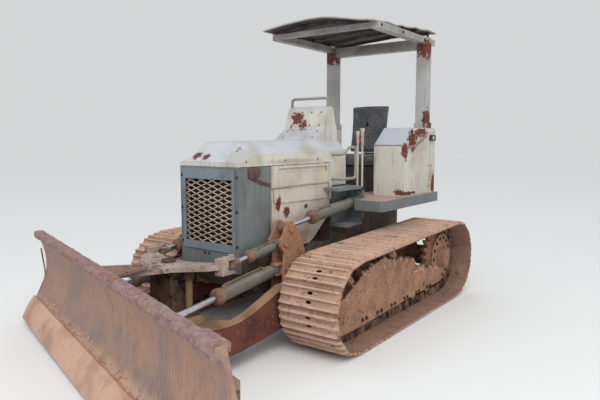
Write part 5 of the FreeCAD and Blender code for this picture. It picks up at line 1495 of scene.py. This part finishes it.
# %% Seat cloth
def seat_cloth(name, up):
    """Dark grey woven cloth with its diamond stitching, faded, dusty and torn once."""
    coat = Finish(name, specular=0.15)
    threads_a = coat.lumps(0.0016, stretch=(1, 1, 5), detail=1.0)
    threads_b = coat.lumps(0.0016, stretch=(5, 1, 1), detail=1.0)
    weave = coat.math("MAXIMUM", threads_a, threads_b)
    clouds = coat.lumps(0.11, detail=5.0)
    colour = coat.mix(coat.step(clouds, 0.38, 0.64), shade(74, 76, 84), shade(96, 95, 99))
    colour = coat.over(colour, coat.step(weave, 0.5, 0.7), shade(120, 118, 118), 0.35)
    dust = coat.step(coat.lumps(0.05, detail=7.0, rough=0.7, shift=3.0), 0.56, 0.70)
    colour = coat.over(colour, dust, shade(136, 124, 112), 0.35)
    across, along = coat.part_of(coat.place, "X"), coat.part_of(coat.place, up)
    stitched = 0.0
    for operation in ("ADD", "SUBTRACT"):
        line = coat.math("DIVIDE", coat.math(operation, across, along), DIAMOND)
        stitched = coat.math("MAXIMUM", stitched,
                             coat.step(coat.math("PINGPONG", line, 0.5), 0.055, 0.02))
    colour = coat.over(colour, stitched, shade(128, 124, 124), 0.55)
    tear = coat.near((-0.005, 0.99, 1.665), (0.014, 0.05, 0.035), 0.12)
    colour = coat.mix(tear, colour, shade(16, 15, 16))
    relief = coat.math("SUBTRACT", weave, coat.math("MULTIPLY", tear, 3.0))
    coat.shader.inputs["Sheen Weight"].default_value = 0.25
    return coat.done(colour, 0.9, relief, 0.0008)


BASE_CLOTH, BACK_CLOTH = seat_cloth("seat_base_cloth", "Y"), seat_cloth("seat_back_cloth", "Z")
base = cushion("seat_cushion_padded", (-0.215, 0.580, 1.245), (0.215, 1.020, 1.350))
quilt(base, 1, 2)
seat_base = piece_of("seat_cushion_padded", base, BASE_CLOTH, "chassis",
                     ("seat_cushion",))

BACK_LOW, BACK_HIGH = 1.362, 1.866
BACK_LEAN = 0.055 / 0.505
back = cushion("seat_back_padded", (-0.222, 0.990, BACK_LOW), (0.222, 1.062, BACK_HIGH))
for vertex in back.vertices:
    vertex.co.y += (vertex.co.z - BACK_LOW) * BACK_LEAN
quilt(back, 2, 1)
seat_rest = piece_of("seat_back_padded", back, BACK_CLOTH, "chassis",
                     ("seat_back",))
for item in (seat_base, seat_rest):
    places = [vertex.co for vertex in item.data.vertices]
    print(item.name, len(item.data.polygons), "faces, box",
          rounded(min(place[axis] for place in places) for axis in range(3)),
          rounded(max(place[axis] for place in places) for axis in range(3)))

# %% [markdown]
# ## Bolts, screws and nuts
# A bolt that floats or sinks looks wrong from any side, so each one is shot at the metal: a
# ray from outside finds the face, and the bolt stands on that face along its normal. The
# placing tree then sets all the bolts of one kind and one body together.

# %% Bolts shot onto the metal
def surface_of(node):
    """A CAD node's faces, ready for rays."""
    mesh = cad[node].data
    return BVHTree.FromPolygons([vertex.co for vertex in mesh.vertices],
                                [polygon.vertices for polygon in mesh.polygons])


SURFACES = {}
BOLT_SINK = 0.0005


def shot(node, start, direction):
    """Where a ray from outside first meets a node, and that face's normal."""
    if node not in SURFACES:
        SURFACES[node] = surface_of(node)
    return SURFACES[node].ray_cast(Vector(start), Vector(direction))[:2]


def bolts(name, template, shots):
    """Bolts on the chassis where the shots hit, each turned a little further than the last."""
    spots = []
    for number, (node, start, direction) in enumerate(shots):
        place, normal = shot(node, start, direction)
        if place is not None:
            if normal.dot(Vector(direction)) > 0:
                normal = -normal
            spots.append((place - normal * BOLT_SINK, turned_to(normal, number * 0.37), 1.0))
    print(name, "set:", len(spots), "of", len(shots))
    repeat(name, template, spots, BOLT_IRON, "chassis")


def both_sides(shots):
    """The shots and their mirror images."""
    return shots + [(node, (-start[0], start[1], start[2]), (-way[0], way[1], way[2]))
                    for node, start, way in shots]


def ring(node, centre, radius, count, way):
    """Shots on a circle that faces along X."""
    x, y, z = centre
    turns = [2 * math.pi * number / count for number in range(count)]
    return [(node, (x, y + radius * math.cos(turn), z + radius * math.sin(turn)), way)
            for turn in turns]


FORWARD, INWARD, DOWNWARD = (0, 1, 0), (-1, 0, 0), (0, 0, -1)
bolts("guard_bolts", bolt_template(0.009, 0.008),
      [("radiator_guard", (x, -1.6, z), FORWARD) for x in (-0.278, 0.278)
       for z in (1.24, 0.995, 0.745)]
      + [("radiator_guard", (x, -1.6, 0.672), FORWARD) for x in (-0.045, 0.0)])
bolts("panel_screws", bolt_template(0.006, 0.004),
      both_sides([("side_boxes", (x, y, 1.9), DOWNWARD) for x in (0.425, 0.685)
                  for y in (0.450, 0.605)]
                 + [("side_boxes", (0.9, y, z), INWARD) for y in (0.97, 1.05)
                    for z in (1.05, 1.25)]
                 + [("hood", (0.6, y, 1.345), INWARD) for y in (-1.25, -0.80, -0.36)]
                 + [("dash_cowl", (x, -0.7, z), FORWARD) for x in (0.05, 0.15)
                    for z in (1.63, 1.745)]
                 + [("dash_cowl", (0.16, y, 2.0), DOWNWARD) for y in (-0.245, -0.17)]))
bolts("frame_bolts", bolt_template(0.011, 0.010),
      both_sides([("rops_frame", (0.9, 1.1855 + y, z), INWARD) for y in (-0.03, 0.03)
                  for z in (1.42, 1.60)]
                 + [("rops_frame", (0.9, y, 2.49), INWARD) for y in (0.20, 0.62, 1.10)]
                 + [("lift_brackets", (0.9, y, z), INWARD) for y in (-0.24, 0.10)
                    for z in (0.79, 1.07)]))
bolts("drive_bolts", bolt_template(0.013, 0.012),
      both_sides(ring("sprockets", (1.3, 0.925, 0.370), 0.185, 14, INWARD)
                 + ring("idlers", (1.3, -0.925, 0.345), 0.075, 6, INWARD)
                 + [("track_frames", (1.3, -0.62 + 0.238 * number + y, 0.158), INWARD)
                    for number in range(6) for y in (-0.03, 0.03)]))

# %% The blade's own directions
BLADE_TURN = (Matrix.Rotation(math.radians(0.9), 3, "Y")
              @ Matrix.Rotation(-BLADE_YAW, 3, "Z"))


def on_blade(x, y, z):
    """A place in the blade's own directions (along it, backward, up from the ball)."""
    return BALL + BLADE_TURN @ Vector((x, y, z))


BLADE_IN = BLADE_TURN @ Vector((0, 1, 0))
print("blade's left end:", rounded(on_blade(1.55, 0, 0)))

# %% [markdown]
# ## The blade's lip and its clods
# The moldboard's top carries a thick bar, hammered and chipped by years of knocks, with a
# wider chunk at the left end. It is swept in short stations whose corners are moved by
# noise, so its edge is uneven but stays one solid bar. Below, dried clods sit in the corner
# where the moldboard meets the cutting edge.

# %% Lip bar
LIP_SECTION = [(-0.036, -0.022), (-0.042, 0.000), (-0.038, 0.022), (-0.026, 0.030),
               (0.000, 0.031), (0.024, 0.029), (0.035, 0.020), (0.036, -0.006),
               (0.014, -0.016), (-0.016, -0.030)]
LIP_STATIONS = 150


def lip_bar():
    """Stations of a rounded section along the blade's top, their corners moved by noise."""
    vertices, faces = [], []
    low, high = -1.538, 1.548
    count = len(LIP_SECTION)
    for station in range(LIP_STATIONS + 1):
        x = low + (high - low) * station / LIP_STATIONS
        chunk = smooth_share(x, 1.34, 1.40)
        for y, z in LIP_SECTION:
            wide = 1.0 + 0.30 * chunk
            knock = noise.noise(Vector((x * 9, y * 40, z * 40)))
            fine = noise.noise(Vector((x * 31, y * 90, z * 90 + 5)))
            swell = 1.0 + 0.16 * knock + 0.10 * fine
            vertices.append(on_blade(x, -0.114 + y * wide * swell, 0.482 + z * wide * swell))
    for station in range(LIP_STATIONS):
        for corner in range(count):
            first = station * count + corner
            second = station * count + (corner + 1) % count
            faces.append((first, first + count, second + count, second))
    faces.append(tuple(range(count)))
    faces.append(tuple(range(LIP_STATIONS * count, LIP_STATIONS * count + count)))
    return cleaned(mesh_of("lip_bar", vertices, faces))


piece_of("lip_bar", lip_bar(), LIP_STEEL, "blade")
print("lip stations:", LIP_STATIONS + 1)

# %% Clods of dried clay
def clod_template():
    """A small angular lump: an icosahedron with its corners pushed about."""
    shape = bmesh.new()
    bmesh.ops.create_icosphere(shape, subdivisions=1, radius=1.0)
    for vertex in shape.verts:
        vertex.co *= 1.0 + 0.45 * noise.noise(vertex.co * 2.3)
        vertex.co.z *= 0.7
    return mesh_from(shape, "clod")


def clods(name, seed, count, node, aim, direction, sizes, body):
    """Lumps scattered by a fixed seed, each on the face its ray meets."""
    dice = random.Random(seed)
    smallest, largest = sizes
    spots = []
    for _ in range(count):
        place = shot(node, aim(dice), direction)[0]
        if place is None:
            continue
        size = smallest + (largest - smallest) * dice.random() ** 2.5
        turn = [dice.uniform(0, 2 * math.pi) for _ in range(3)]
        spots.append((place, turn, size))
    print(name, "lumps:", len(spots))
    repeat(name, clod_template(), spots, CLOD_CLAY, body)


CLOD_CLAY = clay_covered("clod_clay", pale=shade(200, 164, 142), dark=shade(160, 122, 102),
                         cover=0.7, depth=0.003)
clods("blade_clods", 3, 620, "moldboard",
      lambda dice: on_blade(dice.uniform(-1.5, 1.5), -0.7, -0.066 + 0.075 * dice.random() ** 2),
      BLADE_IN, (0.004, 0.019), "blade")
tubes("bent_strip", [rounded_path([on_blade(*spot) for spot in
                                   ((-1.536, -0.105, 0.360), (-1.560, -0.070, 0.120),
                                    (-1.566, -0.150, -0.060), (-1.552, -0.252, -0.180))], 0.05)],
      0.006, BACK_STEEL, "blade")
for sign, side in ((1, "left"), (-1, "right")):
    clods(f"frame_clods_{side}", 11 + sign, 420, "track_frames",
          lambda dice: (sign * dice.uniform(0.745, 0.905), dice.uniform(-0.82, 0.80), 0.75),
          DOWNWARD, (0.010, 0.042), "chassis")
clods("deck_clods", 29, 160, "platform",
      lambda dice: (dice.choice((-1, 1)) * dice.uniform(0.32, 0.74), dice.uniform(-0.04, 0.42),
                    1.2), DOWNWARD, (0.002, 0.008), "chassis")

# %% [markdown]
# ## Cylinder glands and their steel pipes
# Each cylinder ends in a screwed gland round its bright rod, and a thin steel pipe runs
# along its top from the rear port to the front one. Both are turned or bent round the
# cylinder's own line, whose length and thickness are read from the CAD barrel.

# %% Glands and pipes
def turned_shape(profile, start, direction, sides=20):
    """A shape turned round a line; the profile lists (distance along it, radius)."""
    turn = Vector(direction).to_track_quat("Z", "Y").to_matrix()
    vertices = []
    for distance, radius in profile:
        for number in range(sides):
            angle = 2 * math.pi * number / sides
            local = Vector((math.cos(angle) * radius, math.sin(angle) * radius, distance))
            vertices.append(Vector(start) + turn @ local)
    faces = []
    for row in range(len(profile) - 1):
        for number in range(sides):
            following = (number + 1) % sides
            faces.append((row * sides + number, row * sides + following,
                          (row + 1) * sides + following, (row + 1) * sides + number))
    last = (len(profile) - 1) * sides
    faces.append(tuple(range(sides)))
    faces.append(tuple(range(last, last + sides)))
    return cleaned(mesh_of("turned", vertices, faces))


def barrel_facts(node, start, direction):
    """How far a barrel reaches along its line, and its radius half way."""
    offsets = [vertex.co - start for vertex in cad[node].data.vertices]
    reach = max(away.dot(direction) for away in offsets)
    radius = max((away - direction * away.dot(direction)).length for away in offsets
                 if away.dot(direction) > 0.45 * reach)
    return reach, radius


GLAND_RUST = clay_covered("gland_rust", pale=shade(142, 114, 94), dark=shade(96, 72, 58),
                          under=shade(120, 112, 100), cover=0.60, depth=0.002)
# Rear pin, rod's eye (for the angle cylinders it is on the blade), how far the pipe leans
# outwards, and the share of the barrel at which the pipe starts: the lift brackets close
# over the rear half of the lift barrels when the blade is up.
CYLINDERS = {
    "lift": ((0.398, 0.035, 0.955), (0.398, -0.945, 0.850), 0.5, 0.62),
    "tilt": ((0.398, -1.005, 0.745), (0.352, -1.480, 0.660), 0.6, 0.24),
    "angle": ((0.398, -1.062, 0.553), (0.450, 0.060, 0.225), 0.15, 0.24),
}
PIPE_RISE, PIPE_RADIUS = 0.014, 0.006


def cylinder_dress(kind, side):
    """The gland, the pipe and its two ports of one cylinder, all riding on its barrel."""
    sign = 1 if side == "left" else -1
    (x, y, z), (end_x, end_y, end_z), lean, pipe_start = CYLINDERS[kind]
    start, end = Vector((sign * x, y, z)), (sign * end_x, end_y, end_z)
    end = on_blade(*end) if kind == "angle" else Vector(end)
    direction = (end - start).normalized()
    node = f"{kind}_barrel_{side}"
    reach, radius = barrel_facts(node, start, direction)
    gland = turned_shape([(reach - 0.040, radius - 0.002), (reach - 0.038, radius + 0.004),
                          (reach - 0.006, radius + 0.004), (reach + 0.001, radius - 0.002),
                          (reach + 0.008, radius * 0.72), (reach + 0.008, radius * 0.50)],
                         start, direction)
    piece_of(f"{kind}_gland_{side}", gland, GLAND_RUST, node)
    up = (Vector((sign * lean, 0, 1)) - direction * direction.z).normalized()
    up = (up - direction * up.dot(direction)).normalized()

    def at(distance, height):
        return start + direction * distance + up * (radius + height)

    rear, front = reach * pipe_start, reach - 0.075
    path = rounded_path([at(rear, -0.006), at(rear, PIPE_RISE), at(front, PIPE_RISE),
                         at(front, -0.006)], 0.016)
    tubes(f"{kind}_pipe_{side}", [path], PIPE_RADIUS, PIPE_STEEL, node)
    ports = gathered("ports", [
        turned_shape([(-0.012, 0.016), (0.004, 0.016), (0.008, 0.012), (0.010, 0.009)],
                     at(distance, 0.0), up, 8) for distance in (rear, front)])
    piece_of(f"{kind}_ports_{side}", ports, CYLINDER_PAINT, node)
    return round(reach, 3), round(radius, 3)


for kind in CYLINDERS:
    print(kind, "reach and radius:", [cylinder_dress(kind, side) for side in SIDES])

# %% [markdown]
# ## Sheet panels, latch and small plates
# The engine covers, the boxes and the guard carry thin plates whose edges catch the light.
# Each is drawn flat with its holes and laid on its surface, a few millimetres thick, so the
# sunk slot in the cover is a real step and not a painted line.

# %% Cover panels
COVER_FACE = 0.306


def side_plate(outlines, thickness, face, sign):
    """A plate on a side of the machine, drawn as (y, z), its inner face on that side."""
    place = facing_place((sign * (face + thickness / 2), 0, 0), (0, 1, 0), (0, 0, 1))
    return flat_plate(outlines, thickness, place)


def cover_panels(sign):
    """The cover's upper sheet with its sunk slot, the rear strip and the lower sheet."""
    upper = side_plate([rectangle(-0.958, 1.148, -0.212, 1.298, 0.008),
                        rectangle(-0.905, 1.226, -0.236, 1.286, 0.018)], 0.005, COVER_FACE, sign)
    strip = side_plate([rectangle(-0.200, 0.995, -0.168, 1.298, 0.004)], 0.006, COVER_FACE, sign)
    lower = side_plate([[(-0.955, 1.128), (-0.955, 1.030), (-0.820, 1.020), (-0.232, 1.010),
                         (-0.232, 1.104)]], 0.004, COVER_FACE, sign)
    return [upper, strip, lower]


PANELS = cover_panels(1) + cover_panels(-1)
piece_of("cover_panels", gathered("cover_panels", PANELS), CREAM, "chassis")
print("cover panels:", len(PANELS))

# %% Latch, box panels and lamp block
LATCH_RUST = clay_covered("latch_rust", pale=shade(104, 82, 78), dark=shade(76, 56, 52),
                          under=shade(108, 106, 98), cover=0.56, depth=0.003)
GUARD_FACE = 0.294


def latch(sign):
    """The guard's rusty hinge block, its strap that runs back, and a short handle."""
    body = side_plate([rectangle(-1.235, 1.228, -1.120, 1.300, 0.012)], 0.014, GUARD_FACE, sign)
    strap = side_plate([[(-1.220, 1.222), (-1.075, 1.170), (-0.985, 1.152), (-0.985, 1.176),
                         (-1.070, 1.196), (-1.200, 1.244)]], 0.006, GUARD_FACE, sign)
    handle = turned_shape([(0.0, 0.010), (0.012, 0.010), (0.014, 0.006)],
                          (sign * (GUARD_FACE + 0.012), -1.180, 1.262), (sign, 0, 0), 10)
    return [body, strap, handle]


piece_of("guard_latches", gathered("guard_latches", latch(1) + latch(-1)), LATCH_RUST,
         "chassis")


def box_panel(sign):
    """The slanted lid over a side box, a sheet laid on its slope."""
    slope = Vector((0, 0.200, 0.162)).normalized()
    middle = Vector((sign * 0.5525, 0.525, 1.534))
    out = Vector((1, 0, 0)).cross(slope)
    place = facing_place(middle + out * 0.002, (1, 0, 0), slope)
    return flat_plate([rectangle(-0.148, -0.122, 0.148, 0.122, 0.006)], 0.004, place)


piece_of("box_panels", gathered("box_panels", [box_panel(1), box_panel(-1)]), OFF_WHITE,
         "chassis")
BLOCK_BLACK = plain_dark("block_black", shade(34, 32, 32), shade(70, 62, 56), 0.6, 0.03)
piece_of("tail_lamp_blocks", gathered("tail_lamp_blocks", [
    side_plate([rectangle(0.985, 1.494, 1.075, 1.548, 0.006)], 0.030, 0.705, sign)
    for sign in (1, -1)]), BLOCK_BLACK, "chassis")
LENS_WHITE = plain_dark("lens_white", shade(206, 204, 198), shade(176, 170, 160), 0.4, 0.02)
piece_of("tail_lamp_lenses", gathered("tail_lamp_lenses", [
    turned_shape([(0.0, 0.018), (0.004, 0.018), (0.007, 0.012), (0.008, 0.004)],
                 (sign * 0.7348, 1.015, 1.520), (sign, 0, 0), 16) for sign in (1, -1)]),
    LENS_WHITE, "chassis")
print("latches, lids and lamp blocks set")

# %% Lever plate and control grips
# The plate stays behind the blade's own wedge, which passes over the lever as it tilts.
LEVER_TOP = 0.675
wedge = flat_plate([[(-0.030, -1.940), (0.030, -1.940), (0.085, -1.850), (0.060, -1.815),
                     (-0.060, -1.815), (-0.085, -1.850)]], 0.010,
                   Matrix.Translation((0, 0, LEVER_TOP + 0.005)))
nuts = [turned_shape([(0, 0.020), (0.014, 0.020), (0.016, 0.016), (0.030, 0.011),
                      (0.032, 0.008)], (0, y, LEVER_TOP + 0.009), (0, 0, 1), 6)
        for y in (-1.915, -1.845)]
piece_of("apex_plate", gathered("apex_plate", [wedge] + nuts), LEVER_STEEL, "tilt_lever")
GRIP_TAPE = plain_dark("grip_tape", shade(196, 168, 158), shade(166, 120, 106), 0.75, 0.02)
LEVER_LINES = [((0.335, 0.235, 1.560), 0.10), ((0.375, 0.250, 1.585), 0.14),
               ((-0.350, 0.240, 1.500), 0.10)]
grips = [turned_shape([(-length, 0.010), (-length + 0.006, 0.014), (-0.020, 0.0155),
                       (-0.004, 0.0125), (0.004, 0.006)], top, (0, 0, 1), 14)
         for top, length in LEVER_LINES]
piece_of("lever_grips", gathered("lever_grips", grips), GRIP_TAPE, "chassis")
print("grips:", len(grips))

# %% Sizes before and after
bpy.context.view_layer.update()
dressed_low, dressed_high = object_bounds()
print("box now:", rounded(dressed_low), rounded(dressed_high))
